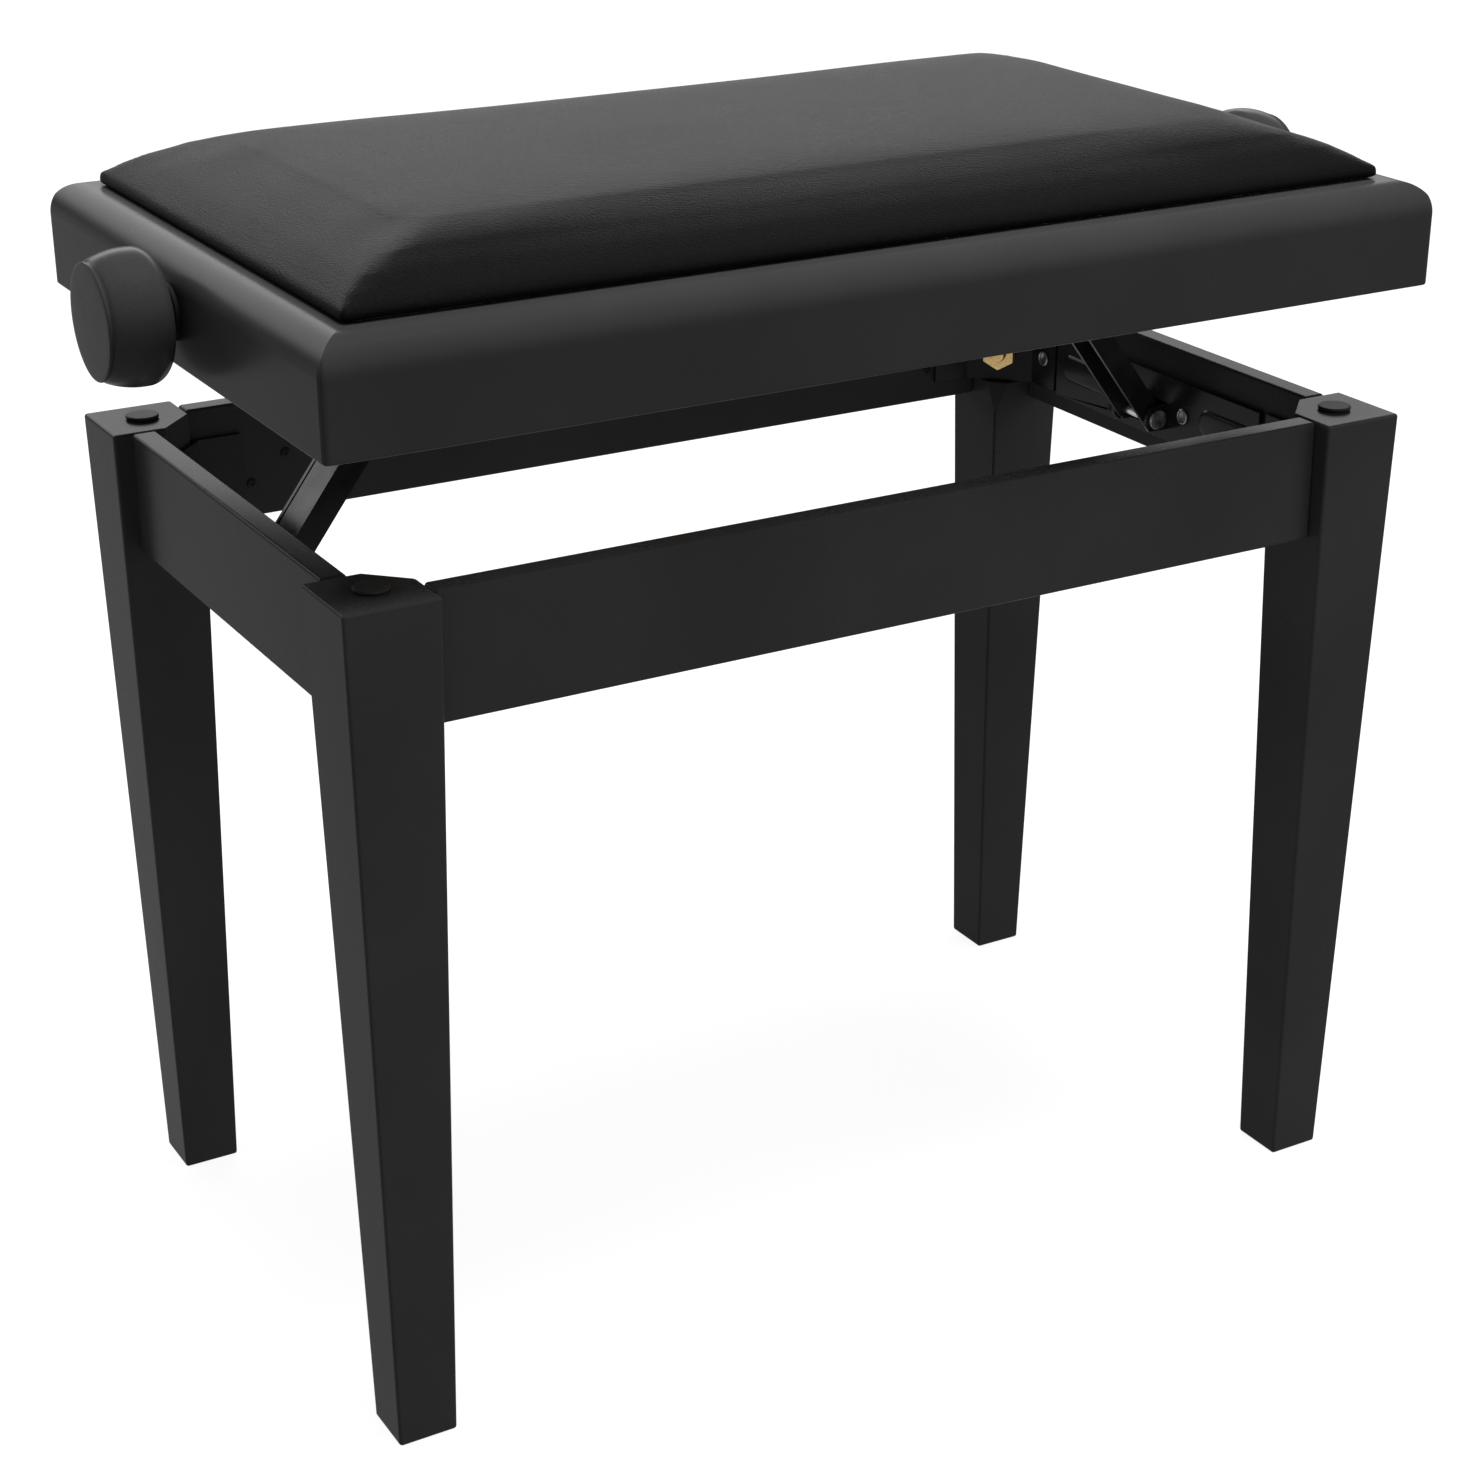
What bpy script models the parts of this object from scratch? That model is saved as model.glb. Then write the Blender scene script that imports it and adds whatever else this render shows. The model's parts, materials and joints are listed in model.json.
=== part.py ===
"""Height-adjustable piano bench: tapered legs, a mitred seat frame, a cushion and a screw-driven lift.

Metres, +Z up. The origin is on the floor under the centre of the seat. X runs along the bench.
The lift has one linkage at each end: a main arm from the base to a nut on the spindle, and a half-length
link from the arm's middle up to the seat, straight above the arm's base hinge.
"""
import math

import bmesh
import bpy
from mathutils import Matrix, Vector

GAP = 0.0003                    # between touching pieces
RUNNING_GAP = 0.0003            # radial, round a pin or a shaft
SIDE_GAP = 0.0004               # beside a piece that swings
ROUND_STEPS = 24                # sides of a small round

# Seat frame
SEAT_LENGTH = 0.560
SEAT_WIDTH = 0.330
RAIL_HEIGHT = 0.0486
RAIL_WIDTH = 0.024
RAIL_ROUND = 0.0150             # radius of the rounded upper edge
SEAT_RAISED = 0.0636            # gap between the base and the seat frame, as the bench is set
BOARD_THICKNESS = 0.012
BOARD_EDGE = 0.0006
BATTEN_SIZE = 0.012

# Cushion
CUSHION_LAND = 0.0020           # flat of the frame's top left outside the cushion
CUSHION_HEIGHT = 0.029
CUSHION_SLOPE = 0.026           # how far the cushion's edge slopes in
CUSHION_SHOULDER = 0.0041       # how far the top of that slope is below the flat top
CUSHION_WALL = 0.006            # height of its upright edge

# Base
BASE_OVERHANG_X = 0.0055        # how far the seat stands out past the legs
BASE_OVERHANG_Y = 0.0052
BASE_HEIGHT = 0.4078
LEG_TOP = 0.044
LEG_FOOT = 0.0287
LEG_FOOT_INSET = 0.0058         # the outer faces lean in by this at the floor
LEG_EDGE = 0.0015
LEG_LAND = 0.0042               # left of the leg's inner face, beside the apron
LEG_LEDGE = 0.0085              # the corner cut is this much less just below the bracket
LEG_CHAMFER_RUNOUT = 0.026      # length over which it runs out below that
APRON_HEIGHT = 0.0591
APRON_THICKNESS = 0.0122
APRON_SETBACK = 0.0088          # behind the legs' outer faces
APRON_EDGE = 0.0015
PAD_RADIUS = 0.0080
PAD_HEIGHT = 0.0020
PAD_EDGE = 0.0005

# Corner brackets and their bolts
BRACKET_THICKNESS = 0.0020
BRACKET_HEIGHT = 0.034
BRACKET_DROP = 0.0148           # its top edge below the base's top
BRACKET_FLANGE = 0.022
BOLT_RADIUS = 0.0040
BOLT_IN_LEG = 0.020
BOLT_STICKS_OUT = 0.0130
BOLT_DROP = 0.0318              # its axis below the base's top
BOLT_EDGE = 0.0006
NUT_ACROSS_FLATS = 0.017
NUT_HEIGHT = 0.0065

# Lift linkage
HINGE_CLEARANCE = 0.0025        # between a mount's plate and the link that swings beside it
HINGE_DROP = 0.0358             # base hinge below the base's top
SPINDLE_DROP = 0.0130           # spindle's axis below the seat board
ARM_LENGTH = 0.1540             # base hinge to spindle nut
ARM_WIDTH = 0.0240              # outside, across the two flanges
ARM_DEPTH = 0.0120
ARM_WALL = 0.0022
ARM_WEB_CLEAR = 0.036           # the web stops this far before the nut
ARM_WEB_LOW_CLEAR = 0.012       # and this far after the base hinge
LINK_WALL = 0.0025
LINK_DEPTH = 0.0130
LINK_WEB_CLEAR = 0.026          # the link's web stops this far from both its pivots
WEB_INSET = 0.0004              # a web's face lies this far inside its cheeks' edges
PIN_RADIUS = 0.0030
PIN_HEAD_RADIUS = 0.0050
PIN_HEAD_HEIGHT = 0.0016
RIVET_STANDS_IN = 0.0008        # a seat rivet's inner end past its link
MOUNT_THICKNESS = 0.0030
EAR_THICKNESS = 0.0026
BASE_MOUNT_CLEARANCE = 0.0035   # between the base mount and the corner brackets
BASE_MOUNT_HEIGHT = 0.034
BASE_MOUNT_DROP = 0.0153        # its top edge below the base's top
SEAT_MOUNT_LENGTH = 0.090
SEAT_MOUNT_HEIGHT = 0.028
EAR_DEPTH = 0.0130
EAR_CORNER = 0.0026             # cut off an ear's corners, along its top and bottom
EAR_CORNER_RISE = 0.00325       # and along its end

# Spindle, nuts and knobs
SPINDLE_RADIUS = 0.0060
SPINDLE_EDGE = 0.0008
NUT_BLOCK_LENGTH = 0.018
NUT_BLOCK_WALL = 0.0017         # above and below its bore
NUT_BLOCK_EDGE = 0.0010
BUSH_WALL = 0.0027
BUSH_RIM = 0.0035               # its flange stands out this far
BUSH_FLANGE = 0.0020
KNOB_RADIUS = 0.0295
KNOB_FACE_RADIUS = 0.0255
KNOB_FACE_EDGE = 0.0006
KNOB_FACE_DROP = 0.0008         # depth of that edge
KNOB_RIM_DEPTH = 0.0060         # length of the rounded rim next to the outer face
KNOB_BACK_ROUND = 0.0085
KNOB_NECK_WALL = 0.0067
KNOB_LENGTH = 0.0285
KNOB_OFF_SEAT = 0.0075          # neck between the seat's end and the knob's back
KNOB_BORE_DEPTH = 0.022
KNOB_WAIST = 0.0011             # depth of the shallow waist round its side

# Worked out from the sizes above
HALF_L = SEAT_LENGTH / 2
HALF_W = SEAT_WIDTH / 2
SEAT_BOTTOM = BASE_HEIGHT + SEAT_RAISED
SEAT_TOP = SEAT_BOTTOM + RAIL_HEIGHT
CUSHION_INSET = RAIL_ROUND + CUSHION_LAND
BASE_X = HALF_L - BASE_OVERHANG_X
BASE_Y = HALF_W - BASE_OVERHANG_Y
APRON_OUT_X = BASE_X - APRON_SETBACK
APRON_OUT_Y = BASE_Y - APRON_SETBACK
APRON_IN_X = APRON_OUT_X - APRON_THICKNESS
APRON_IN_Y = APRON_OUT_Y - APRON_THICKNESS
RAIL_IN_X = HALF_L - RAIL_WIDTH
RAIL_IN_Y = HALF_W - RAIL_WIDTH
BOARD_BOTTOM = SEAT_TOP - BOARD_THICKNESS
LEG_CHAMFER = LEG_TOP - APRON_SETBACK - APRON_THICKNESS - LEG_LAND
BRACKET_REACH = BASE_X + BASE_Y - 2 * LEG_TOP + LEG_CHAMFER - GAP * math.sqrt(2)
BRACKET_WALL_X = APRON_IN_X - GAP
BRACKET_WALL_Y = APRON_IN_Y - GAP
BASE_MOUNT_HALF = BRACKET_REACH - BRACKET_WALL_X - BRACKET_FLANGE - BASE_MOUNT_CLEARANCE
BASE_MOUNT_TOP = BASE_HEIGHT - BASE_MOUNT_DROP
SPINDLE_HEIGHT = BOARD_BOTTOM - SPINDLE_DROP
SPINDLE_BORE = SPINDLE_RADIUS + RUNNING_GAP
BUSH_RADIUS = SPINDLE_BORE + BUSH_WALL
BUSH_FLANGE_RADIUS = BUSH_RADIUS + BUSH_RIM
KNOB_NECK_RADIUS = SPINDLE_BORE + KNOB_NECK_WALL
HINGE_HEIGHT = BASE_HEIGHT - HINGE_DROP
HINGE_X = min(RAIL_IN_X, APRON_IN_X) - MOUNT_THICKNESS - HINGE_CLEARANCE - LINK_DEPTH / 2
LIFT_HEIGHT = SPINDLE_HEIGHT - HINGE_HEIGHT
ARM_ANGLE = math.asin(LIFT_HEIGHT / ARM_LENGTH)
LINK_LENGTH = ARM_LENGTH / 2
NUT_X = HINGE_X - ARM_LENGTH * math.cos(ARM_ANGLE)
MID_X = (HINGE_X + NUT_X) / 2
MID_HEIGHT = (HINGE_HEIGHT + SPINDLE_HEIGHT) / 2
LINK_IN = ARM_WIDTH / 2 + SIDE_GAP
LINK_OUT = LINK_IN + LINK_WALL
EAR_IN = LINK_OUT + SIDE_GAP
EAR_OUT = EAR_IN + EAR_THICKNESS
LEG_FOOT_FAR = LEG_FOOT_INSET + LEG_FOOT

COLOURS = {
    "satin_black_wood": ((0.016, 0.016, 0.017), 0.42, 0.0),
    "black_steel": ((0.010, 0.010, 0.011), 0.30, 0.6),
    "bright_steel": ((0.42, 0.42, 0.43), 0.35, 1.0),
    "brass": ((0.62, 0.42, 0.17), 0.35, 1.0),
    "black_plastic": ((0.014, 0.014, 0.015), 0.45, 0.0),
    "leatherette": ((0.028, 0.028, 0.030), 0.55, 0.0),
    "plywood": ((0.42, 0.31, 0.19), 0.70, 0.0),
    "felt": ((0.020, 0.020, 0.021), 0.90, 0.0),
}


def clear_scene():
    for thing in list(bpy.data.objects):
        bpy.data.objects.remove(thing, do_unlink=True)


def new_collection(name):
    group = bpy.data.collections.new(name)
    bpy.context.scene.collection.children.link(group)
    return group


def make_materials():
    made = {}
    for name, (colour, roughness, metallic) in COLOURS.items():
        material = bpy.data.materials.new(name)
        material.use_nodes = True
        shader = material.node_tree.nodes["Principled BSDF"]
        shader.inputs["Base Color"].default_value = (*colour, 1.0)
        shader.inputs["Roughness"].default_value = roughness
        shader.inputs["Metallic"].default_value = metallic
        made[name] = material
    return made


def add_object(name, mesh_data, material, smooth=False):
    """Put a bmesh into the parts collection as one named object."""
    mesh = bpy.data.meshes.new(name)
    mesh_data.normal_update()
    bmesh.ops.recalc_face_normals(mesh_data, faces=mesh_data.faces)
    mesh_data.to_mesh(mesh)
    mesh_data.free()
    if material:
        mesh.materials.append(MATERIALS[material])
    if smooth:
        mesh.shade_smooth()
        mesh.set_sharp_from_angle(angle=math.radians(35))
    thing = bpy.data.objects.new(name, mesh)
    (PARTS if material else CUTTERS).objects.link(thing)
    if not material:
        thing.hide_render = True
        thing.display_type = "WIRE"
    return thing


def box_mesh(low, high):
    data = bmesh.new()
    bmesh.ops.create_cube(data, size=1.0)
    size = Vector(high) - Vector(low)
    bmesh.ops.scale(data, vec=size, verts=data.verts)
    bmesh.ops.translate(data, vec=(Vector(high) + Vector(low)) / 2, verts=data.verts)
    return data


def cylinder_mesh(start, end, radius, sides=ROUND_STEPS):
    data = bmesh.new()
    start = Vector(start)
    along = Vector(end) - start
    turn = along.to_track_quat("Z", "Y").to_matrix().to_4x4()
    place = Matrix.Translation(start + along / 2) @ turn
    bmesh.ops.create_cone(data, cap_ends=True, segments=sides, radius1=radius, radius2=radius,
                          depth=along.length, matrix=place)
    return data


def prism_mesh(outline, start, end):
    """Extrude an XZ outline from one Y to another."""
    data = bmesh.new()
    ring = [data.verts.new((x, start, z)) for x, z in outline]
    face = data.faces.new(ring)
    grown = bmesh.ops.extrude_face_region(data, geom=[face])
    moved = [item for item in grown["geom"] if isinstance(item, bmesh.types.BMVert)]
    bmesh.ops.translate(data, vec=(0, end - start, 0), verts=moved)
    return data


def cut(thing, tool, operation="DIFFERENCE"):
    modifier = thing.modifiers.new(tool.name, "BOOLEAN")
    modifier.operation = operation
    modifier.solver = "MANIFOLD"
    modifier.object = tool


def bevel(thing, width, segments=2):
    modifier = thing.modifiers.new("edges", "BEVEL")
    modifier.width = width
    modifier.segments = segments
    modifier.limit_method = "ANGLE"
    modifier.angle_limit = math.radians(40)


def turned(name, profile, material, start, side, steps=40):
    """Turn (radius, distance) points about X; the distance runs outward from start."""
    data = bmesh.new()
    points = [data.verts.new((radius, 0, distance)) for radius, distance in profile]
    for first, second in zip(points, points[1:]):
        data.edges.new((first, second))
    mesh = bpy.data.meshes.new(name)
    data.to_mesh(mesh)
    data.free()
    mesh.materials.append(MATERIALS[material])
    mesh.shade_smooth()
    thing = bpy.data.objects.new(name, mesh)
    PARTS.objects.link(thing)
    screw = thing.modifiers.new("turn", "SCREW")
    screw.steps = steps
    screw.render_steps = steps
    screw.use_merge_vertices = True
    screw.merge_threshold = 0.00001
    thing.location = start
    thing.rotation_euler = (0, side * math.pi / 2, 0)
    return thing


# ---------------------------------------------------------------- base


def leg_inner(distance, height):
    """Where a leg's inner face is, seen from the outer face at the top, at a height."""
    share = height / BASE_HEIGHT
    return LEG_FOOT_FAR + (distance - LEG_FOOT_FAR) * share


def make_leg(name, side_x, side_y):
    data = bmesh.new()
    bmesh.ops.create_cube(data, size=1.0)
    for vert in data.verts:
        at_top = vert.co.z > 0
        inner_x = vert.co.x * side_x < 0
        inner_y = vert.co.y * side_y < 0
        near = 0.0 if at_top else LEG_FOOT_INSET
        far = LEG_TOP if at_top else LEG_FOOT_FAR
        x = BASE_X - (far if inner_x else near)
        y = BASE_Y - (far if inner_y else near)
        vert.co = (side_x * x, side_y * y, BASE_HEIGHT if at_top else 0.0)
    leg = add_object(name, data, "satin_black_wood")
    bevel(leg, LEG_EDGE)
    corner = Vector((side_x * (BASE_X - LEG_TOP), side_y * (BASE_Y - LEG_TOP), BASE_HEIGHT))
    cut(leg, make_corner_cutter(name, corner, side_x, side_y))
    cut(leg, make_bolt_cutter(name, side_x, side_y))
    return leg


def make_corner_cutter(name, corner, side_x, side_y):
    """A wedge that takes off the leg's inner corner and runs out below the apron."""
    depth = LEG_CHAMFER / math.sqrt(2)
    low_depth = (LEG_CHAMFER - LEG_LEDGE) / math.sqrt(2)
    bracket_end = -BRACKET_DROP - BRACKET_HEIGHT - GAP
    runout_end = bracket_end - LEG_CHAMFER_RUNOUT
    over = LEG_TOP
    outline = [(-over, over), (depth, over), (depth, bracket_end), (low_depth, bracket_end),
               (0.0, runout_end), (-over, runout_end)]
    data = prism_mesh(outline, -over, over)
    turn = math.atan2(side_y, side_x)
    place = Matrix.Translation(corner) @ Matrix.Rotation(turn, 4, "Z")
    bmesh.ops.transform(data, matrix=place, verts=data.verts)
    return add_object("cut_corner_" + name, data, None)


def bolt_ends(side_x, side_y, inside, outside):
    """Two points on a leg bolt's axis, measured from the leg's cut corner."""
    reach = LEG_TOP - LEG_CHAMFER / 2
    outward = Vector((side_x, side_y, 0)).normalized()
    mouth = Vector((side_x * (BASE_X - reach), side_y * (BASE_Y - reach), BASE_HEIGHT - BOLT_DROP))
    return mouth + outward * inside, mouth - outward * outside


def make_bolt_cutter(name, side_x, side_y):
    deep, near = bolt_ends(side_x, side_y, BOLT_IN_LEG + GAP, BOLT_STICKS_OUT)
    return add_object("cut_bolt_" + name, cylinder_mesh(near, deep, BOLT_RADIUS + RUNNING_GAP), None)


def make_pad(name, side_x, side_y):
    x = side_x * (BASE_X - LEG_TOP / 2)
    y = side_y * (BASE_Y - LEG_TOP / 2)
    low = BASE_HEIGHT + GAP
    pad = add_object(name, cylinder_mesh((x, y, low), (x, y, BASE_HEIGHT + PAD_HEIGHT), PAD_RADIUS), "felt")
    bevel(pad, PAD_EDGE, 1)
    return pad


def make_apron(name, along_x, side):
    """A board between two legs, with ends that follow the legs' taper."""
    half = (BASE_X if along_x else BASE_Y) - GAP
    outer = APRON_OUT_Y if along_x else APRON_OUT_X
    data = bmesh.new()
    bmesh.ops.create_cube(data, size=1.0)
    for vert in data.verts:
        height = BASE_HEIGHT if vert.co.z > 0 else BASE_HEIGHT - APRON_HEIGHT
        end = math.copysign(half - leg_inner(LEG_TOP, height), vert.co.x)
        across = side * (outer if vert.co.y > 0 else outer - APRON_THICKNESS)
        vert.co = (end, across, height) if along_x else (across, end, height)
    apron = add_object(name, data, "satin_black_wood")
    bevel(apron, APRON_EDGE)
    return apron


def make_corner_bracket(name, side_x, side_y):
    """A bent strip across the corner, with a flange along each apron."""
    bend_x = BRACKET_REACH - BRACKET_WALL_Y
    bend_y = BRACKET_REACH - BRACKET_WALL_X
    path = [
        (bend_x - BRACKET_FLANGE, BRACKET_WALL_Y), (bend_x, BRACKET_WALL_Y),
        (BRACKET_WALL_X, bend_y), (BRACKET_WALL_X, bend_y - BRACKET_FLANGE),
    ]
    top = BASE_HEIGHT - BRACKET_DROP
    data = bmesh.new()
    upper = [data.verts.new((side_x * x, side_y * y, top)) for x, y in path]
    lower = [data.verts.new((side_x * x, side_y * y, top - BRACKET_HEIGHT)) for x, y in path]
    for index in range(len(path) - 1):
        ring = [upper[index], upper[index + 1], lower[index + 1], lower[index]]
        data.faces.new(ring if side_x * side_y > 0 else reversed(ring))
    mesh = bpy.data.meshes.new(name)
    data.to_mesh(mesh)
    data.free()
    mesh.materials.append(MATERIALS["black_steel"])
    bracket = bpy.data.objects.new(name, mesh)
    PARTS.objects.link(bracket)
    solid = bracket.modifiers.new("thickness", "SOLIDIFY")
    solid.thickness = BRACKET_THICKNESS
    solid.offset = -1.0
    solid.use_even_offset = True
    deep, near = bolt_ends(side_x, side_y, BOLT_IN_LEG, BOLT_STICKS_OUT)
    hole = add_object("cut_bracket_" + name, cylinder_mesh(near, deep, BOLT_RADIUS + RUNNING_GAP), None)
    cut(bracket, hole)
    return bracket


def make_leg_bolt(name, side_x, side_y):
    deep, near = bolt_ends(side_x, side_y, BOLT_IN_LEG, BOLT_STICKS_OUT)
    bolt = add_object(name, cylinder_mesh(near, deep, BOLT_RADIUS), "bright_steel", smooth=True)
    bevel(bolt, BOLT_EDGE, 1)
    return bolt


def make_leg_nut(name, side_x, side_y):
    seat = BRACKET_THICKNESS + 2 * GAP
    back, front = bolt_ends(side_x, side_y, -seat, seat + NUT_HEIGHT)
    corner_radius = NUT_ACROSS_FLATS / math.sqrt(3)
    nut = add_object(name, cylinder_mesh(front, back, corner_radius, sides=6), "brass")
    deep, near = bolt_ends(side_x, side_y, BOLT_IN_LEG, BOLT_STICKS_OUT + NUT_HEIGHT)
    cut(nut, add_object("cut_nut_" + name, cylinder_mesh(near, deep, BOLT_RADIUS + RUNNING_GAP), None))
    return nut


# ---------------------------------------------------------------- seat


def rail_profile():
    """(distance in from the outer face, height above the bottom), round the rail's section."""
    points = [(RAIL_WIDTH, 0.0), (0.0, 0.0)]
    steps = 8
    for index in range(steps + 1):
        turn = math.pi / 2 * index / steps
        inward = RAIL_ROUND * (1 - math.cos(turn))
        points.append((inward, RAIL_HEIGHT - RAIL_ROUND + RAIL_ROUND * math.sin(turn)))
    points.append((RAIL_WIDTH, RAIL_HEIGHT))
    return points


def make_rail(name, along_x, side):
    """A seat rail with mitred ends."""
    half = HALF_L if along_x else HALF_W
    outer = HALF_W if along_x else HALF_L
    profile = rail_profile()
    data = bmesh.new()
    ends = []
    for end in (-1, 1):
        ring = []
        for inward, height in profile:
            along = end * (half - inward - GAP)
            across = side * (outer - inward)
            z = SEAT_BOTTOM + height
            ring.append(data.verts.new((along, across, z) if along_x else (across, along, z)))
        ends.append(ring)
    count = len(profile)
    for index in range(count):
        after = (index + 1) % count
        data.faces.new((ends[0][index], ends[0][after], ends[1][after], ends[1][index]))
    data.faces.new(ends[0])
    data.faces.new(ends[1])
    rail = add_object(name, data, "satin_black_wood", smooth=True)
    if not along_x:
        start = (side * (RAIL_IN_X - BUSH_FLANGE * 2), 0, SPINDLE_HEIGHT)
        end = (side * (HALF_L + BUSH_FLANGE * 2), 0, SPINDLE_HEIGHT)
        hole = cylinder_mesh(start, end, BUSH_RADIUS + GAP)
        cut(rail, add_object("cut_" + name, hole, None))
    return rail


def make_board():
    x = RAIL_IN_X - GAP
    y = RAIL_IN_Y - GAP
    board = add_object("seat_board", box_mesh((-x, -y, BOARD_BOTTOM), (x, y, SEAT_TOP)), "plywood")
    bevel(board, BOARD_EDGE, 1)
    return board


def make_batten(name, side):
    """A strip along the inside of a long rail, which carries the board."""
    near = side * (RAIL_IN_Y - GAP)
    far = side * (RAIL_IN_Y - GAP - BATTEN_SIZE)
    x = RAIL_IN_X - MOUNT_THICKNESS - BATTEN_SIZE
    top = BOARD_BOTTOM - GAP
    low = (-x, min(near, far), top - BATTEN_SIZE)
    return add_object(name, box_mesh(low, (x, max(near, far), top)), "plywood")


def make_cushion():
    """A plain crowned block: an upright edge, then a slope in to a flat top."""
    half_x = HALF_L - CUSHION_INSET
    half_y = HALF_W - CUSHION_INSET
    low = SEAT_TOP + GAP
    levels = [(0.0, low), (0.0, low + CUSHION_WALL), (CUSHION_SLOPE, SEAT_TOP + CUSHION_HEIGHT - CUSHION_SHOULDER),
              (2 * CUSHION_SLOPE, SEAT_TOP + CUSHION_HEIGHT)]
    data = bmesh.new()
    rings = []
    for inward, z in levels:
        x = half_x - inward
        y = half_y - inward
        rings.append([data.verts.new(corner) for corner in ((-x, -y, z), (x, -y, z), (x, y, z), (-x, y, z))])
    for below, above in zip(rings, rings[1:]):
        for index in range(4):
            after = (index + 1) % 4
            data.faces.new((below[index], below[after], above[after], above[index]))
    data.faces.new(rings[0])
    data.faces.new(rings[-1])
    return add_object("cushion", data, "leatherette")


# ---------------------------------------------------------------- lift


def strap_outline(side, start, end, radius, steps=8):
    """A bar's XZ outline: round ends about both pivots."""
    ax, az = side * start[0], start[1]
    bx, bz = side * end[0], end[1]
    heading = math.atan2(bz - az, bx - ax)
    outline = []
    for centre_x, centre_z, first in ((bx, bz, heading - math.pi / 2), (ax, az, heading + math.pi / 2)):
        for index in range(steps + 1):
            turn = first + math.pi * index / steps
            outline.append((centre_x + radius * math.cos(turn), centre_z + radius * math.sin(turn)))
    return outline


def web_outline(side, start, end, clear_start, clear_end, off, wall, above):
    """A plate's XZ outline beside the line between two pivots, on its upper or lower side."""
    ax, az = side * start[0], start[1]
    bx, bz = side * end[0], end[1]
    along = Vector((bx - ax, bz - az))
    length = along.length
    along.normalize()
    across = Vector((along.y, -along.x))
    if (across.y > 0) != above:
        across = -across
    first = Vector((ax, az)) + along * clear_start
    last = Vector((ax, az)) + along * (length - clear_end)
    return [tuple(first + across * off), tuple(last + across * off),
            tuple(last + across * (off - wall)), tuple(first + across * (off - wall))]


def make_channel(name, side, start, end, depth, inner, wall, clear_start, clear_end, above, hole_radii):
    """Two flat cheeks joined by a web along one edge, with a hole at each pivot given."""
    cheeks = []
    for hand in (-1, 1):
        outline = strap_outline(side, start, end, depth / 2)
        near = hand * inner
        far = hand * (inner + wall)
        cheeks.append(prism_mesh(outline, min(near, far), max(near, far)))
    body = add_object(name, cheeks[0], "black_steel")
    other = add_object("join_cheek_" + name, cheeks[1], None)
    outline = web_outline(side, start, end, clear_start, clear_end, depth / 2 - WEB_INSET, wall, above)
    web = prism_mesh(outline, -inner - wall / 2, inner + wall / 2)
    cut(body, add_object("join_web_" + name, web, None), "UNION")
    cut(body, other, "UNION")
    for index, ((x, z), radius) in enumerate(hole_radii):
        hole = cylinder_mesh((side * x, -inner - 2 * wall, z), (side * x, inner + 2 * wall, z), radius)
        cut(body, add_object("cut_%s_%d" % (name, index), hole, None))
    return body


def make_arm(name, side):
    hole = PIN_RADIUS + RUNNING_GAP
    holes = [((HINGE_X, HINGE_HEIGHT), hole), ((MID_X, MID_HEIGHT), hole), ((NUT_X, SPINDLE_HEIGHT), hole)]
    return make_channel(name, side, (HINGE_X, HINGE_HEIGHT), (NUT_X, SPINDLE_HEIGHT), ARM_DEPTH,
                        ARM_WIDTH / 2 - ARM_WALL, ARM_WALL, ARM_WEB_LOW_CLEAR, ARM_WEB_CLEAR, True, holes)


def make_link(name, side):
    hole = PIN_RADIUS + RUNNING_GAP
    holes = [((HINGE_X, SPINDLE_HEIGHT), hole), ((MID_X, MID_HEIGHT), hole)]
    return make_channel(name, side, (MID_X, MID_HEIGHT), (HINGE_X, SPINDLE_HEIGHT), LINK_DEPTH,
                        LINK_IN, LINK_WALL, LINK_WEB_CLEAR, LINK_WEB_CLEAR, False, holes)


def make_pin(name, side, x, z, reach):
    """A headed pin along Y, through both cheeks; reach is where the heads start."""
    end = reach + PIN_HEAD_HEIGHT / 2
    pin = add_object(name, cylinder_mesh((side * x, -end, z), (side * x, end, z), PIN_RADIUS),
                     "bright_steel", smooth=True)
    for index, hand in enumerate((-1, 1)):
        outer = hand * (reach + PIN_HEAD_HEIGHT)
        head = cylinder_mesh((side * x, hand * reach, z), (side * x, outer, z), PIN_HEAD_RADIUS)
        cut(pin, add_object("join_%s_%d" % (name, index), head, None), "UNION")
    return pin


def make_mount(name, side, wall_x, plate_length, plate_top, plate_height, pivot_z, inner):
    """A wall plate with two ears that hold a pivot at HINGE_X."""
    outer_x = wall_x - GAP
    inner_x = outer_x - MOUNT_THICKNESS
    low = (min(side * outer_x, side * inner_x), -plate_length / 2, plate_top - plate_height)
    high = (max(side * outer_x, side * inner_x), plate_length / 2, plate_top)
    mount = add_object(name, box_mesh(low, high), "black_steel")
    for index, hand in enumerate((-1, 1)):
        near = hand * inner
        far = hand * (inner + EAR_THICKNESS)
        half = EAR_DEPTH / 2
        tip = HINGE_X - half
        root = inner_x + MOUNT_THICKNESS / 2
        flank = tip + EAR_CORNER
        rise = half - EAR_CORNER_RISE
        outline = [(side * root, pivot_z - half), (side * root, pivot_z + half),
                   (side * flank, pivot_z + half), (side * tip, pivot_z + rise),
                   (side * tip, pivot_z - rise), (side * flank, pivot_z - half)]
        ear = prism_mesh(outline, min(near, far), max(near, far))
        cut(mount, add_object("join_ear_%s_%d" % (name, index), ear, None), "UNION")
    reach = inner + 2 * EAR_THICKNESS
    hole = cylinder_mesh((side * HINGE_X, -reach, pivot_z), (side * HINGE_X, reach, pivot_z),
                         PIN_RADIUS + RUNNING_GAP)
    cut(mount, add_object("cut_" + name, hole, None))
    return mount


def make_base_mount(name, side):
    return make_mount(name, side, APRON_IN_X, 2 * BASE_MOUNT_HALF, BASE_MOUNT_TOP, BASE_MOUNT_HEIGHT,
                      HINGE_HEIGHT, LINK_IN)


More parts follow.
